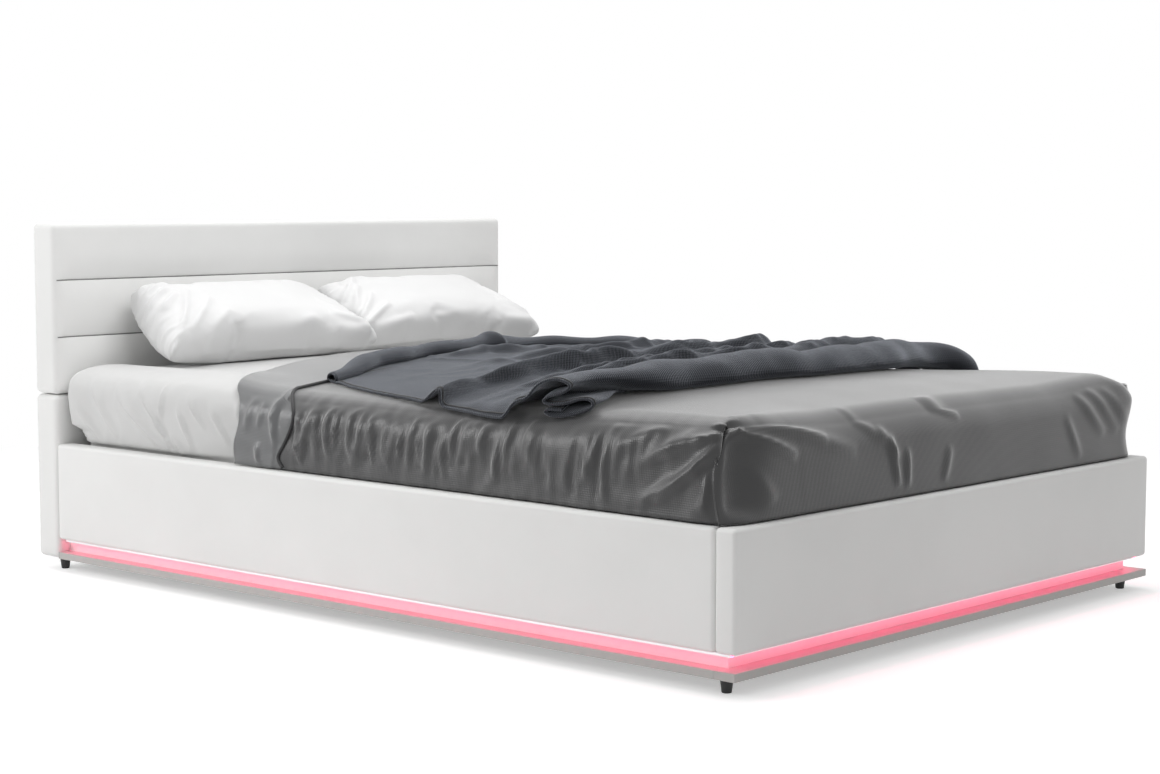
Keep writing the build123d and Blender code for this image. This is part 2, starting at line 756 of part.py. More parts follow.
def flat_arm(pivot_y, pivot_z, length, angle, upper_hole_radius):
    upper_y, upper_z = arm_point(pivot_y, pivot_z, length, angle)
    middle_x = (arm_inner_x + arm_outer_x) / 2
    bar = Box(arm_thickness, length, arm_width)
    bar = Pos(middle_x, (pivot_y + upper_y) / 2, (pivot_z + upper_z) / 2) * Rot(angle, 0, 0) * bar
    arm = bar
    for y, z in ((pivot_y, pivot_z), (upper_y, upper_z)):
        arm = arm + rod_along_x(arm_hub_radius, arm_inner_x, arm_outer_x, y, z)
    overrun = (arm_inner_x - cut_overrun, arm_outer_x + cut_overrun)
    arm = arm - rod_along_x(pin_radius + pin_running_clearance, *overrun, pivot_y, pivot_z)
    arm = arm - rod_along_x(upper_hole_radius, *overrun, upper_y, upper_z)
    return arm


rear_arm = flat_arm(rear_pivot_y, rear_pivot_z, rear_arm_length, rear_arm_angle,
                    pin_radius + pin_running_clearance)
front_arm = flat_arm(front_pivot_y, front_pivot_z, front_arm_length, front_arm_angle,
                     pin_radius + pin_fit_clearance)
save("rear_arms", both_sides(rear_arm))
save("front_arms", both_sides(front_arm))

slide_pin_y, slide_pin_z = arm_point(front_pivot_y, front_pivot_z, front_arm_length, front_arm_angle)
slide_pin = (rod_along_x(pin_radius, platform_half_width + seat_gap, arm_outer_x, slide_pin_y, slide_pin_z)
             + rod_along_x(pin_head_radius, arm_outer_x, arm_outer_x + pin_head_height,
                           slide_pin_y, slide_pin_z))
save("slide_pins", both_sides(slide_pin))

# The platform's brackets, flat against the side bars
bracket_x = (platform_half_width, platform_half_width + plate_thickness)
bracket_y = (rear_pin_y - slide_last - bracket_end_margin, strut_head_y + bracket_end_margin)
bracket_z = (platform_bottom, platform_bottom + bar_height)
lift_bracket = block(bracket_x, bracket_y, bracket_z)
lift_bracket = fillet(lift_bracket.edges().filter_by(Axis.X), bar_height / 8)
slot = (block((bracket_x[0] - cut_overrun, bracket_x[1] + cut_overrun),
              (slot_y - slot_length / 2, slot_y + slot_length / 2),
              (slot_z - slot_radius, slot_z + slot_radius))
        + rod_along_x(slot_radius, bracket_x[0] - cut_overrun, bracket_x[1] + cut_overrun,
                      slot_y - slot_length / 2, slot_z)
        + rod_along_x(slot_radius, bracket_x[0] - cut_overrun, bracket_x[1] + cut_overrun,
                      slot_y + slot_length / 2, slot_z))
lift_bracket = lift_bracket - slot
lift_bracket = lift_bracket - rod_along_x(pin_radius + pin_fit_clearance, bracket_x[0] - cut_overrun,
                                          bracket_x[1] + cut_overrun, rear_pin_y, rear_pin_height)
save("lift_brackets", both_sides(lift_bracket))

upper_shoulder = (bracket_x[1], arm_inner_x - seat_gap)
upper_pin = stepped_pin(bracket_x[0], upper_shoulder, arm_outer_x + seat_gap,
                        arm_outer_x + seat_gap + pin_head_height, rear_pin_y, rear_pin_height, pin_radius)
strut_stud = stepped_pin(bracket_x[1], (bracket_x[1], eye_inner_x - seat_gap), eye_outer_x + seat_gap,
                         eye_outer_x + seat_gap + pin_head_height, strut_head_y, strut_head_z,
                         strut_pin_radius)
upper_pins = both_sides(upper_pin) + both_sides(strut_stud)
save("upper_pins", upper_pins)

# Gas struts: tube, seal and piston rod, an eye at each end
strut_run = math.hypot(strut_head_y - strut_foot_y, strut_head_z - strut_foot_z)
strut_angle = math.degrees(math.atan2(strut_head_z - strut_foot_z, strut_head_y - strut_foot_y))
strut_frame = Pos(strut_x, strut_foot_y, strut_foot_z) * Rot(strut_angle, 0, 0) * Rot(-90, 0, 0)


def along_strut(radius, start, end):
    return strut_frame * Pos(0, 0, (start + end) / 2) * Cylinder(radius, end - start)


def strut_eye(distance, hole_radius):
    y = strut_foot_y + distance * math.cos(math.radians(strut_angle))
    z = strut_foot_z + distance * math.sin(math.radians(strut_angle))
    ring = rod_along_x(strut_eye_radius, eye_inner_x, eye_outer_x, y, z)
    bore = rod_along_x(hole_radius, eye_inner_x - cut_overrun, eye_outer_x + cut_overrun, y, z)
    return ring, bore


bore_radius = strut_tube_radius - strut_tube_wall
tube_end = strut_run - strut_rod_clear_length
seal_start = tube_end - strut_tube_radius
rod_start = tube_end - strut_rod_inner_length
foot_eye, foot_eye_bore = strut_eye(0, pin_radius + pin_running_clearance)
head_eye, head_eye_bore = strut_eye(strut_run, strut_pin_radius + strut_head_clearance)
strut_tube = along_strut(strut_tube_radius, strut_tube_start_distance, tube_end)
neck = along_strut(strut_rod_radius, strut_eye_radius / 2, strut_tube_start_distance)
strut_tube = strut_tube + foot_eye + neck
strut_tube = strut_tube - foot_eye_bore
strut_tube = strut_tube - along_strut(bore_radius, strut_tube_start_distance + strut_tube_radius, seal_start)
strut_tube = strut_tube - along_strut(strut_rod_radius + strut_seal_clearance, seal_start - cut_overrun,
                                      tube_end + cut_overrun)
strut_rod = along_strut(strut_rod_radius, rod_start, strut_run - strut_eye_radius / 2) + head_eye
strut_rod = strut_rod + along_strut(bore_radius - strut_seal_clearance, rod_start,
                                    rod_start + strut_rod_radius * 2)
strut_rod = strut_rod - head_eye_bore
save("strut_tubes", both_sides(strut_tube))
save("strut_rods", both_sides(strut_rod))


# Platform: welded tubes, each a closed hollow, with two rows of sprung slats
side_inner = platform_half_width - bar_width
platform_head = from_head(platform_head_setback)
platform_foot = from_foot(platform_foot_setback)


def tube(x, y, z):
    wall = bar_wall
    hollow = block((x[0] + wall, x[1] - wall), (y[0] + wall, y[1] - wall), (z[0] + wall, z[1] - wall))
    return block(x, y, z) - hollow


bar_z = (platform_bottom, platform_top)
side_bar = tube((side_inner, platform_half_width), (platform_foot, platform_head), bar_z)
foot_bar = tube((-side_inner, side_inner), (platform_foot, platform_foot + bar_width), bar_z)
head_bar = tube((-side_inner, side_inner), (platform_head - bar_width, platform_head), bar_z)
save("side_bar_right", side_bar)
save("side_bar_left", mirrored(side_bar))
save("foot_bar", foot_bar)
save("head_bar", head_bar)
inner_foot = platform_foot + bar_width
inner_head = platform_head - bar_width
low_bars = []
for share in low_bar_shares:
    y = inner_foot + share * (inner_head - inner_foot)
    low_bars.append(tube((-side_inner, side_inner), (y - bar_width / 2, y + bar_width / 2),
                         (platform_bottom, platform_bottom + low_bar_height)))
save("low_bars", low_bars)
centre_bar = tube((-bar_width / 2, bar_width / 2), (inner_foot, inner_head),
                  (platform_bottom + low_bar_height, platform_top))
save("centre_bar", centre_bar)

slat_end_height = platform_bottom + slat_end_rise_height
slat_rise = platform_top - seat_gap - slat_thickness - slat_end_height
slat_x = (bar_width / 2 + slat_end_gap, side_inner - slat_end_gap)
slat_top = slat_end_height + slat_thickness
slat_middle = (slat_x[0] + slat_x[1]) / 2
slat_edges = Curve() + [
    ThreePointArc((slat_x[0], slat_end_height), (slat_middle, slat_end_height + slat_rise),
                  (slat_x[1], slat_end_height)),
    Line((slat_x[1], slat_end_height), (slat_x[1], slat_top)),
    ThreePointArc((slat_x[1], slat_top), (slat_middle, slat_top + slat_rise), (slat_x[0], slat_top)),
    Line((slat_x[0], slat_top), (slat_x[0], slat_end_height)),
]
slat = extrude(Plane.XZ * make_face(slat_edges), slat_width / 2, both=True)
holder_half = slat_width / 2 + holder_clearance + holder_wall
holder_z = (slat_end_height - holder_clearance - holder_wall, slat_top + holder_play + holder_wall)
pocket_half = slat_width / 2 + holder_clearance
pocket_z = (slat_end_height - holder_clearance, slat_top + holder_play)
holders = []
for start, end in ((bar_width / 2, bar_width / 2 + holder_length), (side_inner - holder_length, side_inner)):
    body = block((start, end), (-holder_half, holder_half), holder_z)
    pocket = block((slat_x[0] - slat_end_gap / 2, slat_x[1] + slat_end_gap / 2),
                   (-pocket_half, pocket_half), pocket_z)
    holders.append(body - pocket)
slats = []
slat_holders = []
slat_pitch = (inner_head - inner_foot) / slat_count
for index in range(slat_count):
    place = Pos(0, inner_foot + slat_pitch * (index + 1 / 2), 0)
    slats += both_sides(place * slat)
    for holder in holders:
        slat_holders += both_sides(place * holder)
save("slats", slats)
save("slat_holders", slat_holders)

# Webbing handle on the foot bar
strap_half = strap_length / 2
strap_y = -strap_thickness
strap_edges = Curve() + [
    Line((-strap_half - strap_hem, 0), (-strap_half - strap_hem, strap_y)),
    Line((-strap_half - strap_hem, strap_y), (-strap_half, strap_y)),
    ThreePointArc((-strap_half, strap_y), (0, strap_y - strap_rise_height), (strap_half, strap_y)),
    Line((strap_half, strap_y), (strap_half + strap_hem, strap_y)),
    Line((strap_half + strap_hem, strap_y), (strap_half + strap_hem, 0)),
    Line((strap_half + strap_hem, 0), (strap_half, 0)),
    ThreePointArc((strap_half, 0), (0, -strap_rise_height), (-strap_half, 0)),
    Line((-strap_half, 0), (-strap_half - strap_hem, 0)),
]
strap = extrude(make_face(strap_edges), strap_width)
strap_z = platform_bottom + (bar_height - strap_width) / 2
save("pull_strap", Pos(0, platform_foot, strap_z) * strap)


# Mattress and bedding. All of it follows one rounded, crowned form that is grown
# outward by the thickness of what lies beneath.

mattress_foot = from_foot(mattress_foot_gap)
mattress_head = from_head(mattress_head_gap)


def crown_share(y):
    place = (y - mattress_foot) / (mattress_head - mattress_foot)
    place = min(max(place, 0), 1)
    return 1 - abs(2 * place - 1) ** 3


def crown_at(y):
    gain = mattress_crown_height - mattress_crown_least_height
    return mattress_crown_least_height + gain * crown_share(y)


def bedding_section(y, grow, inset):
    half = mattress_side + grow - inset
    bottom = platform_top - grow + inset
    top = mattress_edge_top + grow - inset
    corner = mattress_corner_radius + grow - inset * mattress_end_share
    slack = corner * (1 - math.sqrt(1 / 2))
    crown = crown_at(y)
    edges = Curve() + [
        Line((corner - half, bottom), (half - corner, bottom)),
        ThreePointArc((half - corner, bottom), (half - slack, bottom + slack), (half, bottom + corner)),
        Line((half, bottom + corner), (half, top - corner)),
        ThreePointArc((half, top - corner), (half - slack, top - slack), (half - corner, top)),
        ThreePointArc((half - corner, top), (0, top + crown), (corner - half, top)),
        ThreePointArc((corner - half, top), (slack - half, top - slack), (-half, top - corner)),
        Line((-half, top - corner), (-half, bottom + corner)),
        ThreePointArc((-half, bottom + corner), (slack - half, bottom + slack), (corner - half, bottom)),
    ]
    return Plane((0, y, 0), x_dir=(1, 0, 0), z_dir=(0, -1, 0)) * make_face(edges)


def bedding_form(grow):
    radius = mattress_corner_radius + grow
    foot = mattress_foot - grow
    head = mattress_head + grow
    run = head - foot
    places = []
    for turn in bedding_end_turns:
        angle = math.radians(turn)
        places.append((radius * (1 - math.cos(angle)), radius * (1 - math.sin(angle))))
    sections = [bedding_section(foot + back, grow, inset) for back, inset in places]
    for share in bedding_section_shares:
        sections.append(bedding_section(foot + share * run, grow, 0))
    for back, inset in reversed(places):
        sections.append(bedding_section(head - back, grow, inset))
    return loft(sections, ruled=True)


def place_on_bed(shares):
    return shares[0] * half_width, from_foot(shares[1] * mattress_space_length)


def prism(plan, bottom, top):
    points = [place_on_bed(shares) for shares in plan]
    return Pos(0, 0, bottom) * extrude(make_face(Polyline(*points, close=True)), top - bottom)


sheet_inner = seat_gap
sheet_outer = sheet_inner + sheet_thickness
duvet_inner = sheet_outer + seat_gap
duvet_outer = duvet_inner + duvet_thickness
turn_back_outer = duvet_outer + turn_back_thickness
throw_inner = duvet_outer + seat_gap
throw_outer = throw_inner + throw_thickness
ceiling = headboard_top

mattress = bedding_form(0)
save("mattress", mattress)
sheet_form = bedding_form(sheet_outer)
below_sheet = block((-half_width, half_width), (foot_face, head_back), (0, rail_top - sheet_tuck_depth))
save("fitted_sheet", sheet_form - bedding_form(sheet_inner) - below_sheet)

duvet_hem_height = rail_top - duvet_tuck_depth
duvet_fold_top = mattress_edge_top - duvet_fold_top_drop
throw_lowest = mattress_edge_top - throw_drop_height
duvet_plan = [(-1, -duvet_overrun_share), *duvet_head_edge_shares, (1, -duvet_overrun_share)]
duvet_space = prism(duvet_plan, duvet_hem_height, ceiling)
duvet = bedding_form(duvet_outer) & duvet_space
turn_back_plan = turn_back_edge_shares + list(reversed(duvet_head_edge_shares))
turn_back = bedding_form(turn_back_outer) & prism(turn_back_plan, duvet_hem_height, ceiling)
duvet = duvet + turn_back


def hanging_folds(side_x, start, end):
    # Scalloped folds of the hanging side, deepest at the hem and nearly flat at the top
    count = round((end - start) / duvet_fold_width)
    pitch = (end - start) / count
    root = side_x - duvet_fold_root_depth
    sections = []
    for height, depth in ((duvet_hem_height, duvet_fold_depth), (duvet_fold_top, duvet_fold_top_depth)):
        edges = [Line((root, start), (side_x, start))]
        for index in range(count):
            near = start + index * pitch
            edges.append(ThreePointArc((side_x, near), (side_x + depth, near + pitch / 2),
                                       (side_x, near + pitch)))
        edges += [Line((side_x, end), (root, end)), Line((root, end), (root, start))]
        sections.append(Pos(0, 0, height) * make_face(Curve() + edges))
    return loft(sections, ruled=True)


side_x = mattress_side + duvet_outer
fold_start = from_foot(mattress_foot_gap + mattress_corner_radius)
right_end = place_on_bed(turn_back_edge_shares[-1])[1]
left_end = place_on_bed(turn_back_edge_shares[0])[1]
right_folds = hanging_folds(side_x, fold_start, right_end)
left_folds = mirrored(hanging_folds(side_x, fold_start, left_end))
duvet = duvet + right_folds + left_folds
duvet = duvet - bedding_form(duvet_inner)
save("duvet", duvet)


def bedding_top(x, y, grow):
    edge = mattress_side - mattress_corner_radius
    return mattress_edge_top + grow + crown_at(y) * (1 - (x / edge) ** 2)


def throw_fold(start, middle, end, width, height):
    sections = []
    near = [(start[i] + middle[i]) / 2 for i in range(2)]
    far = [(middle[i] + end[i]) / 2 for i in range(2)]
    for place, share in ((start, throw_tip_share), (near, throw_near_share), (middle, 1),
                         (far, throw_near_share), (end, throw_tip_share)):
        x, y = place_on_bed(place)
        half = width * (1 + share) / 4
        base = bedding_top(x, y, throw_outer) - throw_root_depth
        crest = base + throw_root_depth + height * share
        edges = Curve() + [ThreePointArc((y - half, base), (y, crest), (y + half, base)),
                           Line((y + half, base), (y - half, base))]
        sections.append(Plane.YZ.offset(x) * make_face(edges))
    return loft(sections, ruled=True)


throw = bedding_form(throw_outer) & prism(throw_outline_shares, throw_lowest, ceiling)
for fold in throw_folds:
    throw = throw + throw_fold(*fold)
step_share = seat_gap / mattress_space_length
step_plan = [(across, along - step_share) for across, along in turn_back_edge_shares]
over_turn_back = prism(step_plan + list(reversed(duvet_head_edge_shares)), duvet_hem_height, ceiling)
throw = throw - bedding_form(throw_inner) - (bedding_form(turn_back_outer + seat_gap) & over_turn_back)
save("throw", throw)


def pillow():
    sections = []
    for place, fullness in pillow_fullness_shares:
        half = pillow_depth / 2 - pillow_draw_in_depth * (1 - place ** 2)
        seam = pillow_seam / 2
        edges = Curve() + [
            ThreePointArc((-half, seam), (0, pillow_upper_height * fullness), (half, seam)),
            Line((half, seam), (half, -seam)),
            ThreePointArc((half, -seam), (0, -pillow_lower_height * fullness), (-half, -seam)),
            Line((-half, -seam), (-half, seam)),
        ]
        sections.append(Plane.YZ.offset(place * pillow_width / 2) * make_face(edges))
    return loft(sections, ruled=True)


tilt = math.radians(pillow_tilt)
pillow_y = from_head(pillow_hem_distance) + pillow_depth / 2 * math.cos(tilt)
pillow_z = mattress_edge_top + pillow_hem_rise_height + pillow_depth / 2 * math.sin(tilt)
pillow_x = (pillow_width + pillow_gap) / 2
head_space = block((-half_width, half_width), (from_head(pillow_head_clearance), head_back), (0, ceiling))
pillow_places = {"pillow_left": pillow_shift - pillow_x, "pillow_right": pillow_shift + pillow_x}
for node, place in pillow_places.items():
    filled = Pos(place, pillow_y, pillow_z) * Rot(pillow_tilt, 0, 0) * pillow()
    save(node, filled - bedding_form(sheet_outer + seat_gap) - head_space)
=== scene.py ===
import math
import random

import bmesh
import bpy
from mathutils import Euler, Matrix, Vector, noise


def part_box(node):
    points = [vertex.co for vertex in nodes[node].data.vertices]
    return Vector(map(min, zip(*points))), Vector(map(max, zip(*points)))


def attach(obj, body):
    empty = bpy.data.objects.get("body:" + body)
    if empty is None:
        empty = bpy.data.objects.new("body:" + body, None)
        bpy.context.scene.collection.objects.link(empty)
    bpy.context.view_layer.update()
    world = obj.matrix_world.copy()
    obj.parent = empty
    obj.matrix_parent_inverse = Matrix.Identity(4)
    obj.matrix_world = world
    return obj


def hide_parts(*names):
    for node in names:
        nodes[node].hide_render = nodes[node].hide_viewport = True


# The dressed bed in its photographed room: camera, light, finishes, and the leather,
# bedding and pillows that stand for the plain solids of the soft parts. Metres.

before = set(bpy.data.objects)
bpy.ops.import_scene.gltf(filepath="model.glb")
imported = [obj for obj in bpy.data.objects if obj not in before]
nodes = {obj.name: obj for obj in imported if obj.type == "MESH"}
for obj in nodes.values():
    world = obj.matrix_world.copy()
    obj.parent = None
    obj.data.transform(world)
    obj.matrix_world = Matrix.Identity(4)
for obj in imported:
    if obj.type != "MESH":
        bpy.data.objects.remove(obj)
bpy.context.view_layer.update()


# Camera and room

camera_place = (-3.896, -3.519, 0.906)
camera_turn = 48.014
camera_dip = 4.940
camera_lens = 69.61
camera_sensor = 36.0
floor_half = 30.0
floor_lift = 0.40
floor_fade = (1.9, 3.4)
world_light = 0.50
white = (1, 1, 1, 1)
bed_middle = (0, 0, 0.4)
# Lamps: name, place, the point that each shines at, size and power
lamps = [
    ("side_light", (-3.7, 2.7, 2.2), bed_middle, (2.2, 1.5), 66),
    ("top_light", (0.4, 0.6, 3.4), bed_middle, (2.8, 2.8), 50),
    ("head_light", (-0.4, -0.7, 2.2), (0, 1.0, 0.62), (1.8, 0.6), 20),
]

camera_data = bpy.data.cameras.new("camera")
camera_data.lens = camera_lens
camera_data.sensor_width = camera_sensor
camera = bpy.data.objects.new("camera", camera_data)
camera.location = camera_place
camera.rotation_euler = Euler((math.radians(90 - camera_dip), 0, math.radians(-camera_turn)), "XYZ")
bpy.context.scene.collection.objects.link(camera)
bpy.context.scene.camera = camera
bpy.context.scene.view_settings.view_transform = "Standard"


def connect(tree, node, sockets):
    # Each input of a node gets a constant or a link to another node's output
    for name, value in sockets.items():
        if isinstance(value, bpy.types.NodeSocket):
            tree.links.new(value, node.inputs[name])
        else:
            node.inputs[name].default_value = value
    return node


def add_node(tree, kind, sockets):
    return connect(tree, tree.nodes.new("ShaderNode" + kind), sockets)


def calculate(tree, operation, *values):
    node = tree.nodes.new("ShaderNodeMath")
    node.operation = operation
    return connect(tree, node, dict(enumerate(values))).outputs["Value"]


def new_material(name, sockets):
    material = bpy.data.materials.new(name)
    material.use_nodes = True
    tree = material.node_tree
    return material, tree, connect(tree, tree.nodes["Principled BSDF"], sockets)


def seen_directly(tree):
    # One for rays from the camera, from gloss and through glass
    path = tree.nodes.new("ShaderNodeLightPath")
    near = calculate(tree, "MAXIMUM", path.outputs["Is Camera Ray"], path.outputs["Is Glossy Ray"])
    return calculate(tree, "MAXIMUM", near, path.outputs["Is Transmission Ray"])


def make_floor():
    # It takes the bed's shadow, and far from the bed it is as white as the background
    mesh = bpy.data.meshes.new("floor")
    corners = [(x * floor_half, y * floor_half, 0) for x, y in ((-1, -1), (1, -1), (1, 1), (-1, 1))]
    mesh.from_pydata(corners, [], [(0, 1, 2, 3)])
    floor = bpy.data.objects.new("floor", mesh)
    bpy.context.scene.collection.objects.link(floor)
    material, tree, shader = new_material("floor", {
        "Base Color": (0.86, 0.86, 0.86, 1), "Roughness": 0.9, "Specular IOR Level": 0.1})
    seen = seen_directly(tree)
    lifted = calculate(tree, "MULTIPLY", seen, floor_lift)
    glow = add_node(tree, "Emission", {"Color": white, "Strength": lifted})
    both = add_node(tree, "AddShader", {0: shader.outputs[0], 1: glow.outputs[0]})
    place = tree.nodes.new("ShaderNodeNewGeometry")
    length = tree.nodes.new("ShaderNodeVectorMath")
    length.operation = "LENGTH"
    tree.links.new(place.outputs["Position"], length.inputs[0])
    fade = add_node(tree, "MapRange", {
        "From Min": floor_fade[0], "From Max": floor_fade[1], "Value": length.outputs["Value"]})
    fade.interpolation_type = "SMOOTHSTEP"
    share = calculate(tree, "MULTIPLY", fade.outputs["Result"], seen)
    far = add_node(tree, "Emission", {"Color": white})
    mix = add_node(tree, "MixShader", {"Fac": share, 1: both.outputs[0], 2: far.outputs[0]})
    tree.links.new(mix.outputs[0], tree.nodes["Material Output"].inputs["Surface"])
    mesh.materials.append(material)


def make_world():
    world = bpy.data.worlds.new("room")
    world.use_nodes = True
    bpy.context.scene.world = world
    tree = world.node_tree
    mix = add_node(tree, "Mix", {"A": world_light, "B": 1.0, "Factor": seen_directly(tree)})
    connect(tree, tree.nodes["Background"], {"Color": white, "Strength": mix.outputs["Result"]})


def area_light(name, place, aim, size, power):
    data = bpy.data.lights.new(name, "AREA")
    data.shape = "RECTANGLE"
    data.size, data.size_y = size
    data.energy = power
    light = bpy.data.objects.new(name, data)
    light.location = place
    direction = Vector(aim) - Vector(place)
    light.rotation_euler = direction.to_track_quat("-Z", "Y").to_euler()
    bpy.context.scene.collection.objects.link(light)


make_floor()
make_world()
for lamp in lamps:
    area_light(*lamp)


# Finishes. Each is a function that returns a material, with its colour, its grain or
# weave and its sheen.

tone_stops = (0.3, 0.7)
leather_stops = (0.35, 0.65)
noise_detail = 4.0
noise_roughness = 0.55
grain_per_tone = 8
wave_per_pitch = 0.314
thread_noise = 900.0
cloth_patch = 3.0
leather_patch = 3.0
leather_cell = 620.0
leather_grain = 0.00012
leather_wave = 0.0015


def texture_place(tree, scale=(1, 1, 1)):
    place = tree.nodes.new("ShaderNodeTexCoord")
    return add_node(tree, "Mapping", {"Scale": scale, "Vector": place.outputs["Object"]}).outputs[0]


def noise_texture(tree, place, scale):
    texture = add_node(tree, "TexNoise", {
        "Scale": scale, "Detail": noise_detail, "Roughness": noise_roughness, "Vector": place})
    return texture.outputs["Fac"]


def two_tones(tree, place, scale, dark, light, stops=tone_stops):
    # A colour that changes slowly from a dark to a light tone
    ramp = add_node(tree, "ValToRGB", {"Fac": noise_texture(tree, place, scale)})
    for element, position, colour in zip(ramp.color_ramp.elements, stops, (dark, light)):
        element.position = position
        element.color = (*colour, 1)
    return ramp.outputs["Color"]


def bump(tree, shader, height, distance, strength=1.0, under=None):
    node = add_node(tree, "Bump", {"Distance": distance, "Strength": strength, "Height": height})
    if under is not None:
        tree.links.new(under, node.inputs["Normal"])
    tree.links.new(node.outputs["Normal"], shader.inputs["Normal"])
    return node.outputs["Normal"]


def speckled(name, colour, spread, roughness, scale=60.0, metallic=0.0, grain=0.00005, stretch=(1, 1, 1)):
    # A plain finish with slight changes of tone and a fine grain
    material, tree, shader = new_material(name, {"Roughness": roughness, "Metallic": metallic})
    place = texture_place(tree, stretch)
    dark = [channel * (1 - spread) for channel in colour]
    light = [min(channel * (1 + spread), 1) for channel in colour]
    connect(tree, shader, {"Base Color": two_tones(tree, place, scale, dark, light)})
    bump(tree, shader, noise_texture(tree, place, scale * grain_per_tone), grain)
    return material


def leather_finish():
    material, tree, shader = new_material("white_leather", {"Roughness": 0.48, "Specular IOR Level": 0.4})
    place = texture_place(tree)
    tones = two_tones(tree, place, leather_patch, (0.77, 0.77, 0.76), (0.80, 0.80, 0.79), leather_stops)
    connect(tree, shader, {"Base Color": tones})
    grain = add_node(tree, "TexVoronoi", {"Scale": leather_cell, "Vector": place})
    fine = bump(tree, shader, grain.outputs["Distance"], leather_grain, 0.6)
    bump(tree, shader, noise_texture(tree, place, 9.0), leather_wave, 0.5, fine)
    return material


def glow_finish():
    material, tree, shader = new_material("light_cover", {
        "Base Color": (1.0, 0.62, 0.70, 1), "Roughness": 0.5, "Emission Strength": 6.5})
    tones = two_tones(tree, texture_place(tree), 40.0, (1.0, 0.068, 0.185), (1.0, 0.085, 0.215))
    connect(tree, shader, {"Emission Color": tones})
    return material


def woven(name, dark, light, pitch, roughness, sheen, ribs=0.0002, specular=0.5, tint=(1, 1, 1)):
    # Cloth: slow changes of tone, threads that cross, and a soft sheen. The threads show
    # only on the faces that they run along.
    material, tree, shader = new_material(name, {
        "Roughness": roughness, "Specular IOR Level": specular, "Sheen Weight": sheen,
        "Sheen Roughness": 0.4, "Sheen Tint": (*tint, 1)})
    place = texture_place(tree)
    connect(tree, shader, {"Base Color": two_tones(tree, place, cloth_patch, dark, light)})
    normal = tree.nodes.new("ShaderNodeTexCoord").outputs["Normal"]
    facing = add_node(tree, "SeparateXYZ", {"Vector": normal})
    under = None
    for direction in ("X", "Y", "Z"):
        threads = add_node(tree, "TexWave", {
            "Scale": wave_per_pitch / pitch, "Distortion": 0.6, "Vector": place})
        threads.bands_direction = direction
        turned = calculate(tree, "ABSOLUTE", facing.outputs[direction])
        level = calculate(tree, "POWER", calculate(tree, "SUBTRACT", 1.0, turned), 2.0)
        height = calculate(tree, "MULTIPLY", threads.outputs["Fac"], level)
        under = bump(tree, shader, height, ribs, 0.5, under)
    bump(tree, shader, noise_texture(tree, place, thread_noise), ribs, 0.4, under)
    return material


def assign(material, *names):
    for name in names:
        for slot in nodes[name].material_slots:
            slot.material = material


panels = ("headboard_upper", "headboard_lower", "rail_left", "rail_right", "foot_panel")
white_leather = leather_finish()
assign(speckled("chipboard", (0.62, 0.50, 0.34), 0.25, 0.8, 260, grain=0.0003),
       *[panel + "_board" for panel in panels])
assign(speckled("foam", (0.80, 0.76, 0.58), 0.08, 0.95, 300, grain=0.0004),
       *[panel + "_foam" for panel in panels])
assign(speckled("zinc_plate", (0.60, 0.61, 0.63), 0.12, 0.38, 90, metallic=1.0),
       "joining_plates", "corner_brackets", "plinth_plates", "lift_base_plates", "platform_rests")
assign(speckled("bolt_steel", (0.52, 0.53, 0.55), 0.10, 0.32, 200, metallic=1.0),
       "corner_bolts", "panel_screws")
# Painted shade: the slabs are the same white lacquer as the plinth, given a darker colour for the shade they
# lie in below the panels
assign(speckled("white_lacquer_painted_shade", (0.46, 0.45, 0.435), 0.015, 0.42, 14, grain=0.00002),
       "slab_foot", "slab_left", "slab_right")
assign(speckled("plinth_lacquer", (0.80, 0.80, 0.80), 0.02, 0.45, 14, grain=0.00002),
       "plinth_foot", "plinth_left", "plinth_right")
assign(speckled("floor_board", (0.70, 0.69, 0.66), 0.05, 0.6, 30, stretch=(1, 0.15, 1)),
       "storage_floor_left", "storage_floor_right", "floor_bearers")
assign(speckled("black_plastic", (0.012, 0.012, 0.013), 0.2, 0.4, 120), "feet", "slat_holders")
assign(speckled("black_rubber", (0.02, 0.02, 0.02), 0.2, 0.8, 150), "lead_grommet")
assign(speckled("aluminium", (0.75, 0.75, 0.77), 0.06, 0.35, 80, metallic=1.0, stretch=(1, 0.05, 1)),
       "light_channels")
assign(glow_finish(), "light_covers")
assign(speckled("driver_plastic", (0.80, 0.80, 0.79), 0.03, 0.5, 60), "light_driver")
assign(speckled("frame_paint", (0.17, 0.18, 0.19), 0.08, 0.5, 300, grain=0.0001),
       "side_bar_left", "side_bar_right", "foot_bar", "head_bar", "low_bars", "centre_bar")
assign(speckled("lift_paint", (0.03, 0.03, 0.032), 0.15, 0.42, 300, grain=0.00008),
       "rear_arms", "front_arms", "lift_brackets")
assign(speckled("pin_steel", (0.63, 0.64, 0.66), 0.08, 0.25, 200, metallic=1.0),
       "lower_pins", "upper_pins", "slide_pins")
assign(speckled("strut_paint", (0.015, 0.015, 0.016), 0.1, 0.25, 200), "strut_tubes")
assign(speckled("rod_chrome", (0.82, 0.83, 0.85), 0.03, 0.08, 200, metallic=1.0, grain=0.00001),
       "strut_rods")
assign(speckled("birch", (0.72, 0.56, 0.36), 0.14, 0.45, 22, stretch=(0.06, 1, 1)), "slats")
cloth_finish = speckled("black_cloth", (0.025, 0.025, 0.025), 0.3, 0.95, 500, grain=0.0003)
ticking_finish = woven("ticking", (0.72, 0.72, 0.71), (0.78, 0.78, 0.77), 0.004, 0.8, 0.1)
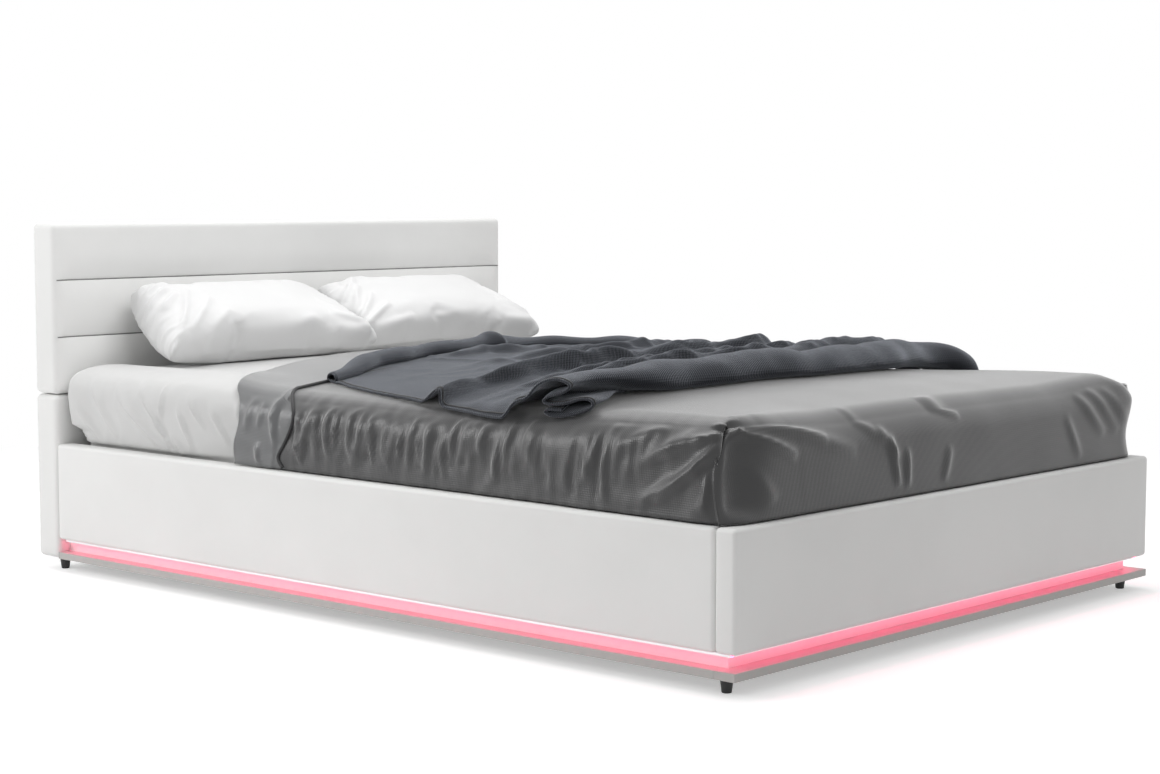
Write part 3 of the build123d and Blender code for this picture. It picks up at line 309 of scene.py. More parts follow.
# Painted shade: the sheet is the same white cotton as the pillows, given a darker colour for the shade on
# its hanging side
sheet_painted_shade_finish = woven("sheet_cotton", (0.58, 0.58, 0.575), (0.63, 0.63, 0.625), 0.0015, 0.55, 0.6, 0.00015)
pillow_finish = woven("pillow_cotton", (0.72, 0.72, 0.72), (0.76, 0.76, 0.76), 0.0015, 0.6, 0.2, 0.0001)
duvet_finish = woven("duvet_satin", (0.019, 0.019, 0.020), (0.027, 0.027, 0.028), 0.0042, 0.33, 1.0, 0.0003)
# Painted sheen: the turned-back band is the duvet's own satin, given a lighter colour for the sheen it shows
# at the head
painted_sheen_band_finish = woven("turned_back_satin_painted_sheen", (0.078, 0.080, 0.083), (0.100, 0.103, 0.106),
                    0.003, 0.30, 1.0, 0.0003, 0.6)
piping_finish = woven("piping", (0.010, 0.010, 0.011), (0.015, 0.015, 0.016), 0.001, 0.6, 0.2)
throw_finish = woven("throw_twill", (0.012, 0.0135, 0.018), (0.019, 0.021, 0.027),
                     0.0054, 0.80, 0.55, 0.0015, 0.3, tint=(0.86, 0.91, 1.0))
seam_finish = woven("seam_thread", (0.16, 0.16, 0.155), (0.22, 0.22, 0.215), 0.002, 0.7, 0.1)
webbing_finish = woven("webbing", (0.018, 0.018, 0.019), (0.028, 0.028, 0.030), 0.002, 0.75, 0.1, 0.0003)

# Shapes of the bedding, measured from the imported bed

mattress_low, mattress_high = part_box("mattress")
half_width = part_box("foot_panel_cover")[1].x
foot_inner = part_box("foot_panel_cover")[1].y
head_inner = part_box("headboard_lower_cover")[0].y
rail_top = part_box("rail_left_cover")[1].z
crown_height = 0.026
crown_least = 0.0015
crown_power = 3
head_rise = 0.013
head_rise_run = (0.15, 0.60)
top_edge = mattress_high.z - crown_height
head_edge_shares = [(-1, 0.682), (-0.444, 0.798), (0, 0.845), (1, 0.856)]
turn_back_shares = [(-1, 0.610), (-0.444, 0.646), (1, 0.663)]


def crown_at(y):
    place = (y - mattress_low.y) / (mattress_high.y - mattress_low.y)
    place = min(max(place, 0), 1)
    return crown_least + (crown_height - crown_least) * (1 - abs(2 * place - 1) ** crown_power)


def crown_over(x, y, edge):
    return crown_at(y) * max(1 - (x / edge) ** 2, 0)


def head_rise_at(y):
    # The bedding lies higher under the pillows
    return head_rise * smooth_step(*head_rise_run, y)


def smooth_step(low, high, value):
    share = min(max((value - low) / (high - low), 0), 1)
    return share * share * (3 - 2 * share)


def smooth_through(points, place):
    # The height at a place of a smooth line through points given from left to right
    last = len(points) - 1
    place = min(max(place, points[0][0]), points[last][0])
    index = 0
    while index < last - 1 and place > points[index + 1][0]:
        index += 1
    slopes = []
    for end in (index, index + 1):
        before = points[max(end - 1, 0)]
        after = points[min(end + 1, last)]
        slopes.append((after[1] - before[1]) / (after[0] - before[0]))
    start, stop = points[index], points[index + 1]
    run = stop[0] - start[0]
    share = (place - start[0]) / run
    blend = share * share * (3 - 2 * share)
    bulge = share * (1 - share)
    return (start[1] + (stop[1] - start[1]) * blend
            + run * bulge * (slopes[0] * (1 - share) - slopes[1] * share))


def edge_place(shares, x):
    share = smooth_through(shares, x / half_width)
    return foot_inner + (head_inner - foot_inner) * share


def rough(x, y, z):
    # Smooth noise, for lengths times the waves in a metre
    return noise.noise(Vector((x, y, z)))


def ridge(phase, sharpness):
    # A narrow crest once in each unit of phase
    return (1 - abs(2 * (phase % 1) - 1)) ** sharpness


def crease(place, start, end, width):
    # One at the middle of a line between two points, fading to its ends and sides
    run = Vector(end) - Vector(start)
    across = Vector(place) - Vector(start)
    share = across.dot(run) / run.length_squared
    if share <= 0 or share >= 1:
        return 0
    gap = (across - run * share).length
    return math.exp(-(gap / width) ** 2) * math.sqrt(math.sin(math.pi * share))


def creased(place, folds):
    # The height at a place of several creases, each with its start, end, width and rise
    return sum(rise * crease(place, start, end, width) for start, end, width, rise in folds)


def spread(start, end, step):
    count = max(round(abs(end - start) / step), 1)
    return [start + (end - start) * index / count for index in range(count + 1)]


def rounded_lines(low, high, radius, step):
    # Grid lines from low to high, closer together where the edges are rounded
    near = [low + radius * share for share in (0, 1 / 4, 1 / 2, 3 / 4)]
    far = [high - radius * share for share in (3 / 4, 1 / 2, 1 / 4, 0)]
    return near + spread(low + radius, high - radius, step) + far


def add_mesh(name, points, faces):
    mesh = bpy.data.meshes.new(name)
    mesh.from_pydata(points, [], faces)
    mesh.polygons.foreach_set("use_smooth", [True] * len(faces))
    piece = bpy.data.objects.new(name, mesh)
    bpy.context.scene.collection.objects.link(piece)
    return piece


def box_skin(name, lines, radius, sides, open_below=False):
    # A skin over some sides of a box with rounded edges. Each side is its axis and
    # which end of it, zero for the low one and one for the high one.
    low = [values[0] for values in lines]
    high = [values[-1] for values in lines]
    index, points, faces = {}, [], []
    for axis, end in sides:
        first, second = [other for other in range(3) if other != axis]
        for i in range(len(lines[first]) - 1):
            for j in range(len(lines[second]) - 1):
                quad = []
                for i_step, j_step in ((0, 0), (1, 0), (1, 1), (0, 1)):
                    place = [0, 0, 0]
                    place[axis] = (low, high)[end][axis]
                    place[first] = lines[first][i + i_step]
                    place[second] = lines[second][j + j_step]
                    key = tuple(round(value, 6) for value in place)
                    if key not in index:
                        index[key] = len(points)
                        points.append(place)
                    quad.append(index[key])
                if (end == 1) == (axis == 1):
                    quad.reverse()
                faces.append(quad)
    inner_low = [value + radius for value in low]
    inner_high = [value - radius for value in high]
    if open_below:
        inner_low[2] = low[2]
    shaped, outward = [], []
    for place in points:
        inner = Vector([min(max(place[a], inner_low[a]), inner_high[a]) for a in range(3)])
        out = Vector(place) - inner
        out.normalize()
        shaped.append(inner + out * radius)
        outward.append(out)
    return add_mesh(name, shaped, faces), [Vector(place) for place in points], outward


def settle(piece):
    # Fixes the result of the modifiers in the mesh
    graph = bpy.context.evaluated_depsgraph_get()
    mesh = bpy.data.meshes.new_from_object(piece.evaluated_get(graph))
    piece.modifiers.clear()
    piece.data = mesh


def thicken(piece, thickness):
    shell = piece.modifiers.new("thickness", "SOLIDIFY")
    shell.thickness = thickness
    shell.offset = -1
    settle(piece)


def place_piece(piece, body, material, slot_name, *replaced):
    if material is not None:
        piece.data.materials.clear()
        piece.data.materials.append(material)
    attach(piece, body)
    if replaced:
        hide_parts(*replaced)
    return piece


# Leather covers of the panels. Each is a skin that returns at the back, with soft waves
# and, on the upper headboard, two sewn channels.

leather_return = 0.025
leather_thickness = 0.0015
channel_depth = 0.0075
channel_half = 0.060
channel_margin = 0.010
channel_run = 0.040
seam_depth = 0.0010
seam_width = 0.0022
seam_lines = (0.0012, 0.0028, 0.0055, 0.0090)
cover_step = 0.010
cover_wave = 0.0007
cover_calm_run = 0.05
wave_offset = 0.6
facing_least = 0.5
seam_clear_share = 1.4
pucker_rise = 0.0008
pucker_reach = 0.02
puckers_per_metre = 18


def channel_dip(along, height, half_length, channels):
    # The depth of the sewn channels: two round shoulders that meet in a sharp line
    share = smooth_step(0, channel_run, half_length - channel_margin - abs(along))
    if share <= 0:
        return 0
    depth = channel_depth * share
    half = channel_half * share
    dip = 0
    for channel in channels:
        gap = abs(height - channel)
        if gap < half:
            radius = (half ** 2 + depth ** 2) / (2 * depth)
            dip = max(dip, radius - math.sqrt(radius ** 2 - (half - gap) ** 2))
        dip += share * seam_depth * math.exp(-(gap / seam_width) ** 2)
    return dip


def leather_cover(node, front, back, radius, channels=()):
    # front and back are the axis and end of the panel's two large sides
    low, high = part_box(node)
    axis = front[0]
    along = 1 - axis
    lines = [rounded_lines(low[a], high[a], radius, cover_step) for a in range(3)]
    for a in (along, 2):
        lines[a] = sorted(lines[a] + [low[a] + leather_return, high[a] - leather_return])
    for channel in channels:
        lines[2] = [z for z in lines[2] if abs(z - channel) > seam_clear_share * seam_lines[-1]]
        lines[2] += [channel] + [channel + side * gap for gap in seam_lines for side in (-1, 1)]
        lines[2].sort()
    sides = [(a, end) for a in range(3) for end in (0, 1)]
    piece, flat, outward = box_skin(node.replace("_cover", "_leather"), lines, radius, sides)
    middle = (low[along] + high[along]) / 2
    half_length = (high[along] - low[along]) / 2
    for vertex, place, out in zip(piece.data.vertices, flat, outward):
        facing = out[axis] * (1 if front[1] == 1 else -1)
        if facing < facing_least:
            continue
        inset = min(min(place[a] - low[a], high[a] - place[a]) for a in (along, 2))
        calm = smooth_step(0, cover_calm_run, inset)
        wave = rough(place[along] * 4, place.z * 7, axis * 5 + front[1]) + wave_offset
        lift = cover_wave * wave * calm
        for channel in channels:
            near = math.exp(-abs(place.z - channel) / pucker_reach)
            pucker = ridge(place[along] * puckers_per_metre + rough(place[along] * 9, channel * 10, 3), 3)
            lift -= pucker_rise * near * pucker * calm
        lift -= channel_dip(place[along] - middle, place.z, half_length, channels)
        vertex.co += out * lift
    body = bmesh.new()
    body.from_mesh(piece.data)
    inside = []
    for face in body.faces:
        centre = face.calc_center_median()
        level = (low, high)[back[1]][axis]
        if abs(centre[axis] - level) > radius / 100:
            continue
        if all(low[a] + leather_return < centre[a] < high[a] - leather_return for a in (along, 2)):
            inside.append(face)
    bmesh.ops.delete(body, geom=inside, context="FACES")
    body.to_mesh(piece.data)
    body.free()
    thicken(piece, leather_thickness)
    place_piece(piece, "frame", white_leather, "leather", node)


upper_low, upper_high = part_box("headboard_upper_cover")
band = (upper_high.z - upper_low.z) / 3
rail_radius = 0.009
headboard_radius = 0.014
leather_cover("headboard_upper_cover", (1, 0), (1, 1), headboard_radius,
              (upper_low.z + band, upper_low.z + 2 * band))
leather_cover("headboard_lower_cover", (1, 0), (1, 1), headboard_radius)
leather_cover("foot_panel_cover", (1, 0), (1, 1), rail_radius)
leather_cover("rail_left_cover", (0, 0), (0, 1), rail_radius)
leather_cover("rail_right_cover", (0, 1), (0, 0), rail_radius)


# Mattress and fitted sheet

sheet_gap = 0.0005
sheet_thickness = 0.0015
mattress_radius = 0.055
sheet_radius = 0.057
sheet_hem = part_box("fitted_sheet")[0].z
sheet_lean = 0.020
sheet_over_rail = 0.018
sheet_by_rail = 0.012
lean_run = (0.30, 0.55)
lean_edge = 0.05
lean_low = 0.312
lean_height = 0.11
rail_gap = 0.0015
rail_blend = 0.004
clear_start = 0.915
clear_slope = 0.58
clear_blend = 0.008
edge_puff = 0.013
puff_run = (0.52, 0.63)
top_blend = (0.40, 0.46)
corner_reach = 0.06
corner_level = (0.342, 0.354)
corner_out = 0.022
corner_up = 0.008
corner_along = 0.014
head_clear = 0.0035
ticking_wave = 0.0006
sheet_top_wave = 0.0009
sheet_ripple = 0.0012
sheet_side_ridge = 0.0016
sheet_end_ridge = 0.0018
all_sides = [(a, end) for a in range(3) for end in (0, 1)]
hanging_sides = [side for side in all_sides if side != (2, 0)]

# Folds on the hanging side of the sheet: each with its start and end as place along the
# bed and height, its width and how far it stands out
sheet_folds = [
    ((0.785, 0.425), (0.620, 0.312), 0.008, 0.0112),
    ((0.700, 0.440), (0.610, 0.350), 0.006, 0.0101),
    ((0.640, 0.380), (0.570, 0.290), 0.005, 0.0121),
    ((0.595, 0.350), (0.540, 0.296), 0.005, 0.0101),
    ((0.555, 0.410), (0.520, 0.325), 0.007, 0.0090),
    ((0.520, 0.432), (0.470, 0.370), 0.006, 0.0090),
    ((0.452, 0.415), (0.405, 0.340), 0.006, 0.0090),
    ((0.378, 0.435), (0.362, 0.365), 0.006, 0.0081),
    ((0.600, 0.445), (0.622, 0.380), 0.005, 0.0090),
    ((0.880, 0.440), (0.800, 0.330), 0.010, 0.0081),
    ((0.930, 0.400), (0.860, 0.305), 0.009, 0.0081),
]


def bedding_lines(grow, low_z, radius, step):
    lines = [rounded_lines(-mattress_high.x - grow, mattress_high.x + grow, radius, 2 * step),
             rounded_lines(mattress_low.y - grow, mattress_high.y + grow, radius, step),
             spread(low_z, top_edge + grow - radius, step)]
    lines[2] += [top_edge + grow - radius * share for share in (3 / 4, 1 / 2, 1 / 4, 0)]
    return lines


def crowned(piece, flat, outward, grow, shape):
    edge = mattress_high.x + grow - mattress_radius
    for vertex, place, out in zip(piece.data.vertices, flat, outward):
        share = smooth_step(mattress_low.z, top_edge, place.z)
        vertex.co += out * shape(place, out)
        vertex.co.z += (crown_over(place.x, place.y, edge) + head_rise_at(place.y)) * share


def mattress_wave(place, out):
    return ticking_wave * (rough(place.x * 9, place.y * 9, place.z * 9) - 1)


def sheet_wave(place, out):
    # Slanting folds and small ridges where the sheet hangs, and faint waves on its top
    hang = abs(out.x)
    lift = sheet_top_wave * rough(place.x * 5, place.y * 5, 1) * abs(out.z)
    if hang > 0:
        lift += hang * creased((place.y, place.z), sheet_folds)
        lift += hang * sheet_ripple * rough(place.y * 16, place.z * 20, 8)
        lift += hang * sheet_side_ridge * ridge(place.y * 11 + rough(place.y * 5, place.z * 12, 2), 3)
    lift += abs(out.y) * sheet_end_ridge * ridge(place.x * 13 + rough(place.x * 5, place.z * 8, 5), 2)
    return lift


def lean_at(y, z, x):
    # How far the bedding leans out over the rails near the head. Below a line that rises
    # to the head end it stays between the rails, which pass it when the platform tilts.
    along = smooth_step(*lean_run, y) * smooth_step(mattress_high.x - lean_edge, mattress_high.x, abs(x))
    rest = rail_top + rail_gap
    clear = rest + clear_slope * max(y - clear_start, 0)
    low = sheet_by_rail * smooth_step(rest, rest + rail_blend, z)
    high = sheet_over_rail + sheet_lean * min(max((z - lean_low) / lean_height, 0), 1)
    return (low + (high - low) * smooth_step(clear, clear + clear_blend, z)) * along


def puff_at(x, y):
    # How much higher the bedding lies along its side edges near the head
    return edge_puff * smooth_step(*puff_run, abs(x)) * smooth_step(*lean_run, y)


def sheet_stand(point):
    # The sheet puffs out over the rails and lies a little higher along its edges
    lean = lean_at(point.y, point.z, point.x)
    corner_gap = math.hypot(mattress_high.x - abs(point.x), mattress_high.y - point.y)
    square = math.exp(-(corner_gap / corner_reach) ** 2) * smooth_step(*corner_level, point.z)
    point.x += math.copysign(lean + corner_out * square, point.x)
    point.z += corner_up * square * smooth_step(*top_blend, point.z)
    point.y = min(point.y + corner_along * square, head_inner - head_clear)
    point.z += puff_at(point.x, point.y) * smooth_step(*top_blend, point.z)


ticking_inset = 0.0006
ticking_step = 0.03
sheet_step = 0.006
lines = bedding_lines(-ticking_inset, mattress_low.z, mattress_radius, ticking_step)
mattress, flat, outward = box_skin("mattress_ticking", lines, mattress_radius, all_sides, True)
crowned(mattress, flat, outward, 0, mattress_wave)
place_piece(mattress, "platform", ticking_finish, "mattress_ticking", "mattress")

sheet_grow = sheet_gap + sheet_thickness
lines = bedding_lines(sheet_grow, sheet_hem, sheet_radius, sheet_step)
sheet, flat, outward = box_skin("cotton_sheet", lines, sheet_radius, hanging_sides, True)
crowned(sheet, flat, outward, sheet_grow, sheet_wave)
for vertex in sheet.data.vertices:
    sheet_stand(vertex.co)
thicken(sheet, sheet_thickness)
place_piece(sheet, "platform", sheet_painted_shade_finish, "sheet_cotton", "fitted_sheet")


# Duvet: a thin padded cover that hangs at both sides and the foot, gathered where it
# hangs, mitred at the foot corners and turned back at the head

duvet_low, duvet_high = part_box("duvet")
duvet_grow = 0.0096
duvet_thickness = 0.0045
duvet_radius = 0.066
duvet_hem = duvet_low.z
duvet_rest_gap = 0.0035
duvet_rest = rail_top + duvet_rest_gap
duvet_top = top_edge + duvet_grow
turn_back_rise = 0.0035
foot_calm = 0.10
foot_swell = 0.021
foot_swell_run = (0.06, 0.80)
side_bulge_hem = 0.046
side_bulge_top = 0.020
side_bulge_least = 0.72
side_bulge_run = (0.10, 0.75)
side_bulge_power = 6
foot_bulge_hem = 0.034
foot_bulge_top = 0.014
foot_bulge_run = 0.25
corner_hollow = 0.034
hollow_place = 0.052
hollow_width = 0.030
hollow_low = (0.02, 0.20)
hollow_high = (0.70, 0.98)
foot_round = 0.014
foot_round_run = 0.22
foot_round_left = (0.10, 0.35)
foot_round_right = (0.05, 0.30)
right_square = 0.022
right_square_level = (0.2, 0.8)
hem_blend = 0.004
over_sheet = 0.001
seam_reach_side = 0.020
seam_reach_foot = 0.042
seam_pull_least = 0.01
seam_hold = (0.39, 0.44)
turn_line_share = 0.62
head_line_share = 0.80
turned_run = 0.008
turned_fade = 0.05
crease_side = 0.4
crease_foot = 0.3
duvet_waves = (0.0012, 0.0022)
side_ripple = 0.0018
side_wrinkle = 0.0022
foot_ripple = 0.0022
duvet_edge = mattress_high.x + duvet_grow - duvet_radius
duvet_foot = mattress_low.y - duvet_grow
duvet_side = mattress_high.x + duvet_grow
turn_line = foot_inner + turn_line_share * (head_inner - foot_inner)
head_line = foot_inner + head_line_share * (head_inner - foot_inner)

# The mitred seam of the left foot corner: its height with its place across and along
seam_across = [(0.311, -0.757), (0.352, -0.752), (0.393, -0.742), (0.425, -0.728),
               (0.461, -0.700), (0.482, -0.668)]
seam_along = [(0.311, -1.031), (0.352, -1.017), (0.393, -1.004), (0.425, -0.998),
              (0.461, -0.986), (0.482, -0.966)]

# Upright gathers of the duvet's sides, of differing length, bow and strength
gather_count = 60
gather_start = -0.86
gather_end = 0.155
gather_width = (0.0060, 0.0120)
gather_rise = (0.0032, 0.0092)
gather_half_length = (0.036, 0.072)
gather_level = (0.362, 0.418)
gather_bow = (0.1, 0.7)
gather_stray = 0.7
gather_reach = 0.06
gather_cut = 4
gather_groove = 0.45
gather_groove_place = 1.6
gather_sway = 0.004
bow_level = 0.40
bow_above = (0.030, 0.06)
bow_below = (0.016, 0.07)
gather_bottom = (0.305, 0.325)
gather_top = (0.462, 0.486)
gather_foot_run = (0.10, 0.34)
band_folds = [
    ((0.222, 0.480), (0.232, 0.410), 0.010, 0.0060),
    ((0.236, 0.430), (0.212, 0.350), 0.009, 0.0070),
    ((0.276, 0.350), (0.264, 0.300), 0.008, 0.0060),
    ((0.300, 0.460), (0.318, 0.380), 0.012, 0.0045),
    ((0.262, 0.450), (0.276, 0.390), 0.009, 0.0040),
    ((0.152, 0.365), (0.128, 0.312), 0.007, 0.0080),
    ((0.160, 0.430), (0.120, 0.400), 0.008, 0.0045),
]

# Creases near the left foot corner and along the foot, each with its start and end as
# distance from the corner and drop below the top edge, its width and its height
side_creases = [
    ((0.000, 0.008), (0.085, 0.040), 0.006, 0.0127),
    ((0.060, 0.028), (0.160, 0.066), 0.009, 0.0082),
    ((0.022, 0.036), (0.160, 0.150), 0.008, 0.0135),
    ((0.012, 0.075), (0.070, 0.165), 0.009, 0.0080),
    ((0.090, 0.020), (0.200, 0.090), 0.011, 0.0057),
    ((0.150, 0.010), (0.250, 0.060), 0.012, 0.0052),
    ((0.120, 0.100), (0.190, 0.160), 0.008, 0.0057),
]
foot_creases = [
    ((0.004, 0.000), (0.070, 0.026), 0.007, 0.0144),
    ((0.040, 0.014), (0.180, 0.070), 0.008, 0.0123),
    ((0.050, 0.000), (0.270, 0.040), 0.011, 0.0086),
    ((0.110, 0.000), (0.360, 0.070), 0.014, 0.0052),
    ((0.060, 0.060), (0.120, 0.150), 0.013, 0.0069),
    ((0.380, 0.000), (0.455, 0.060), 0.013, 0.0042),
    ((0.440, 0.030), (0.500, 0.100), 0.011, 0.0062),
    ((0.475, 0.050), (0.492, 0.160), 0.009, 0.0080),
    ((0.535, 0.080), (0.522, 0.165), 0.008, 0.0066),
    ((0.650, -0.01), (0.740, 0.026), 0.011, 0.0056),
    ((0.690, 0.090), (0.650, 0.165), 0.010, 0.0052),
    ((1.150, 0.060), (1.190, 0.165), 0.012, 0.0040),
    ((1.210, 0.020), (1.290, 0.120), 0.013, 0.0048),
    ((1.260, 0.010), (1.340, 0.120), 0.013, 0.0044),
    ((1.310, 0.020), (1.375, 0.110), 0.013, 0.0044),
]


def random_between(draw, limits):
    return limits[0] + (limits[1] - limits[0]) * draw.random()


def make_gathers(seed):
    draw = random.Random(seed)
    streaks = []
    for index in range(gather_count):
        share = (index + gather_stray * draw.random()) / gather_count
        streaks.append((gather_start + (gather_end - gather_start) * share,
                        random_between(draw, gather_level), random_between(draw, gather_half_length),
                        random_between(draw, gather_width), random_between(draw, gather_rise),
                        random_between(draw, gather_bow)))
    return streaks


gathers_of_side = {-1: make_gathers(11), 1: make_gathers(29)}


def gathers(along, z, side):
    # Each streak bends towards the foot at both of its ends and has a groove beside it
    lift = 0
    above = bow_above[0] * max((z - bow_level) / bow_above[1], 0) ** 2
    below = bow_below[0] * max((bow_level - z) / bow_below[1], 0) ** 2
    for middle, level, half_length, width, rise, bow in gathers_of_side[side]:
        rest = (z - level) / half_length
        if abs(rest) >= 1 or abs(along - middle) > gather_reach:
            continue
        bend = bow * (above + below) + gather_sway * rough(middle * 30, z * 18, side)
        gap = (along + bend - middle) / width
        if abs(gap) < gather_cut:
            groove = gather_groove * math.exp(-(gap - gather_groove_place) ** 2)
            lift += rise * (math.exp(-gap * gap) - groove) * (1 - rest * rest)
    calm = smooth_step(*gather_bottom, z) * (1 - smooth_step(*gather_top, z))
    return lift * calm * smooth_step(*gather_foot_run, along - duvet_foot)


def duvet_lay(place, out):
    waves = duvet_waves[0] * rough(place.x * 7, place.y * 7, place.z * 7)
    waves += duvet_waves[1] * rough(place.x * 2.6, place.y * 2.6, 4)
    return waves * max(out.z, 0)


def duvet_rumple(place, out):
    # How far the duvet stands out from its plain rounded form
    drop = duvet_top - place.z
    from_foot = place.y - duvet_foot
    from_left = place.x + duvet_side
    lift = duvet_lay(place, out)
    side = abs(out.x)
    foot = max(-out.y, 0)
    turned = smooth_step(turned_fade, 0, edge_place(turn_back_shares, place.x) - place.y)
    if side > 0:
        lift += side * gathers(place.y, place.z, -1 if out.x < 0 else 1) * (1 - turned)
        lift += side * side_ripple * rough(place.y * 20, place.z * 24, 3)
        lift += side * side_wrinkle * rough(place.y * 42, place.z * 12, 9) * (1 - turned)
        lift += side * creased((place.y, place.z), band_folds)
        lift += creased((from_foot, drop), side_creases) * smooth_step(0, crease_side, side)
    if foot > 0:
        lift += creased((from_left, drop), foot_creases) * smooth_step(0, crease_foot, foot)
        lift += foot * foot_ripple * rough(place.x * 7, place.z * 9, 6)
    return lift


def turned_back(x, y):
    return smooth_step(0, turned_run, y - edge_place(turn_back_shares, x))


def duvet_inner(place):
    # The centre of the rounding next to a point of the duvet's plain form
    return Vector((min(max(place.x, -duvet_edge), duvet_edge),
                   max(place.y, duvet_foot + duvet_radius),
                   min(place.z, duvet_top - duvet_radius)))


def duvet_place(place, out, lift):
    # A point at a distance from the duvet's plain form, which swells towards the foot and
    # stands out over the rails
    height = min(max((place.z - duvet_hem) / (duvet_top - duvet_hem), 0), 1)
    from_foot = place.y - duvet_foot
    from_left = place.x + duvet_side
    near = side_bulge_least + (1 - side_bulge_least) * (1 - smooth_step(*side_bulge_run, from_foot))
    push_x = (side_bulge_hem + (side_bulge_top - side_bulge_hem) * height) * near
    push_x *= min(abs(place.x) / duvet_edge, 1) ** side_bulge_power
    push_x = max(push_x, lean_at(place.y, place.z, place.x) + over_sheet)
    push_y = (foot_bulge_hem + (foot_bulge_top - foot_bulge_hem) * height)
    push_y *= 1 - smooth_step(0, foot_bulge_run, from_foot)
    point = duvet_inner(place) + out * (duvet_radius + lift)
    flat_top = duvet_top - duvet_radius
    if place.z < flat_top:
        raised = smooth_step(0, hem_blend, max(push_x * abs(out.x), push_y * max(-out.y, 0)))
        hem = duvet_hem + (duvet_rest - duvet_hem) * raised
        point.z = hem + (place.z - duvet_hem) * (flat_top - hem) / (flat_top - duvet_hem)
    hollow = math.exp(-((from_left - hollow_place) / hollow_width) ** 2) * max(-out.y, 0)
    hollow *= smooth_step(*hollow_low, height) * (1 - smooth_step(*hollow_high, height))
    point.x += math.copysign(push_x, place.x)
    point.y += corner_hollow * hollow - push_y
    right_gap = math.hypot(max(duvet_side - place.x, 0), max(from_foot, 0))
    square = right_square * math.exp(-(right_gap / corner_reach) ** 2)
    square *= smooth_step(*right_square_level, height)
    point.x += square
    point.y -= square
    share = smooth_step(duvet_hem, top_edge, place.z)
    rise = foot_swell * (1 - smooth_step(*foot_swell_run, from_foot)) + head_rise_at(place.y)
    rise += puff_at(place.x, place.y) * smooth_step(*top_blend, place.z)
    point.z += (crown_over(place.x, place.y, duvet_edge) + rise) * share
    inside = smooth_step(*foot_round_left, from_left) * smooth_step(*foot_round_right, duvet_side - place.x)
    point.z -= foot_round * (1 - smooth_step(0, foot_round_run, from_foot)) * share * inside
    return seam_pulled(point, from_left, from_foot)


def seam_pulled(point, from_left, from_foot):
    # Near the left foot corner both faces run into the seam
    reach = seam_reach_side if from_left < from_foot else seam_reach_foot
    pull = math.exp(-math.hypot(max(from_left, 0), max(from_foot, 0)) / reach)
    if pull <= seam_pull_least:
        return point
    seam = Vector((smooth_through(seam_across, point.z), smooth_through(seam_along, point.z), point.z))
    point = point.lerp(seam, pull)
    low = 1 - smooth_step(*seam_hold, point.z)
    if from_left < from_foot:
        point.y += low * max(seam.y + from_foot / 2 - point.y, 0)
    else:
        point.x += low * max(seam.x + from_left / 2 - point.x, 0)
    return point


def duvet_surface(place, out):
    lift = duvet_rumple(place, out) + turn_back_rise * turned_back(place.x, place.y)
    return duvet_place(place, out, lift)


def skewed(place):
    # Moves a point of the straight grid to the slanting head edge and turned-back line
    start = duvet_foot + foot_calm
    turn = edge_place(turn_back_shares, place.x)
    head = edge_place(head_edge_shares, place.x)
    if abs(place.x) > duvet_edge:
        # on the side both lines bow towards the head at the middle of the drop
        drop = (duvet_top - place.z) / (duvet_top - duvet_hem)
        turn += smooth_through(turn_bow, drop)
        head += smooth_through(head_bow, drop)
    if place.y <= start:
        return place.y
    if place.y <= turn_line:
        return start + (turn - start) * (place.y - start) / (turn_line - start)
    return turn + (head - turn) * (place.y - turn_line) / (head_line - turn_line)


# The bow of both lines on the side, by the share of the drop
turn_bow = [(0, 0.0), (0.12, -0.030), (0.25, -0.050), (0.45, -0.042), (0.68, -0.026),
            (0.85, -0.012), (1, -0.034)]
head_bow = [(0, 0.0), (0.12, -0.018), (0.25, -0.032), (0.50, -0.032), (0.75, -0.024), (1, -0.032)]
duvet_step = 0.0075
corner_lines = (0.006, 0.011, 0.023, 0.028)
eighths = [count / 8 for count in range(8)]
across = sorted(rounded_lines(-duvet_side, duvet_side, duvet_radius, duvet_step)
                + [-duvet_side + inset for inset in corner_lines])
along = [duvet_foot + duvet_radius * share for share in eighths]
along += spread(duvet_foot + duvet_radius, turn_line, duvet_step)
along += spread(turn_line, head_line, duvet_step)[1:]
upward = spread(duvet_hem, duvet_top - duvet_radius, duvet_step)
upward += [duvet_top - duvet_radius * share for share in reversed(eighths)]
duvet, flat, outward = box_skin("duvet_cover", [across, along, upward], duvet_radius,
                                [(0, 0), (0, 1), (1, 0), (2, 1)], True)
turned = [place.y > turn_line - duvet_step / 4 for place in flat]
for vertex, place in zip(duvet.data.vertices, flat):
    out = (place - duvet_inner(place)).normalized()
    place.y = skewed(place)
    vertex.co = duvet_surface(place, out)
duvet.data.materials.append(duvet_finish)
duvet.data.materials.append(painted_sheen_band_finish)
# The turned-back faces take the lighter satin with its painted sheen
for face in duvet.data.polygons:
    if all(turned[index] for index in face.vertices):
        face.material_index = 1
thicken(duvet, duvet_thickness)
place_piece(duvet, "platform", None, "duvet_satin", "duvet")


def tube_along(name, points, radius, material, body):
    curve = bpy.data.curves.new(name, "CURVE")
    curve.dimensions = "3D"
    curve.bevel_depth = radius
    curve.bevel_resolution = 3
    curve.use_fill_caps = True
    spline = curve.splines.new("NURBS")
    spline.points.add(len(points) - 1)
    for index, point in enumerate(points):
        spline.points[index].co = (*point, 1)
    spline.use_endpoint_u = True
    spline.order_u = 4
    piece = bpy.data.objects.new(name, curve)
    bpy.context.scene.collection.objects.link(piece)
    curve.materials.append(material)
    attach(piece, body)
    return piece


steepest_turn = 1.4
piping_radius = 0.0040
piping_inset = 0.004
piping_lift = 0.0012
piping_step = (0.010, 0.015)
turn_step = 0.2


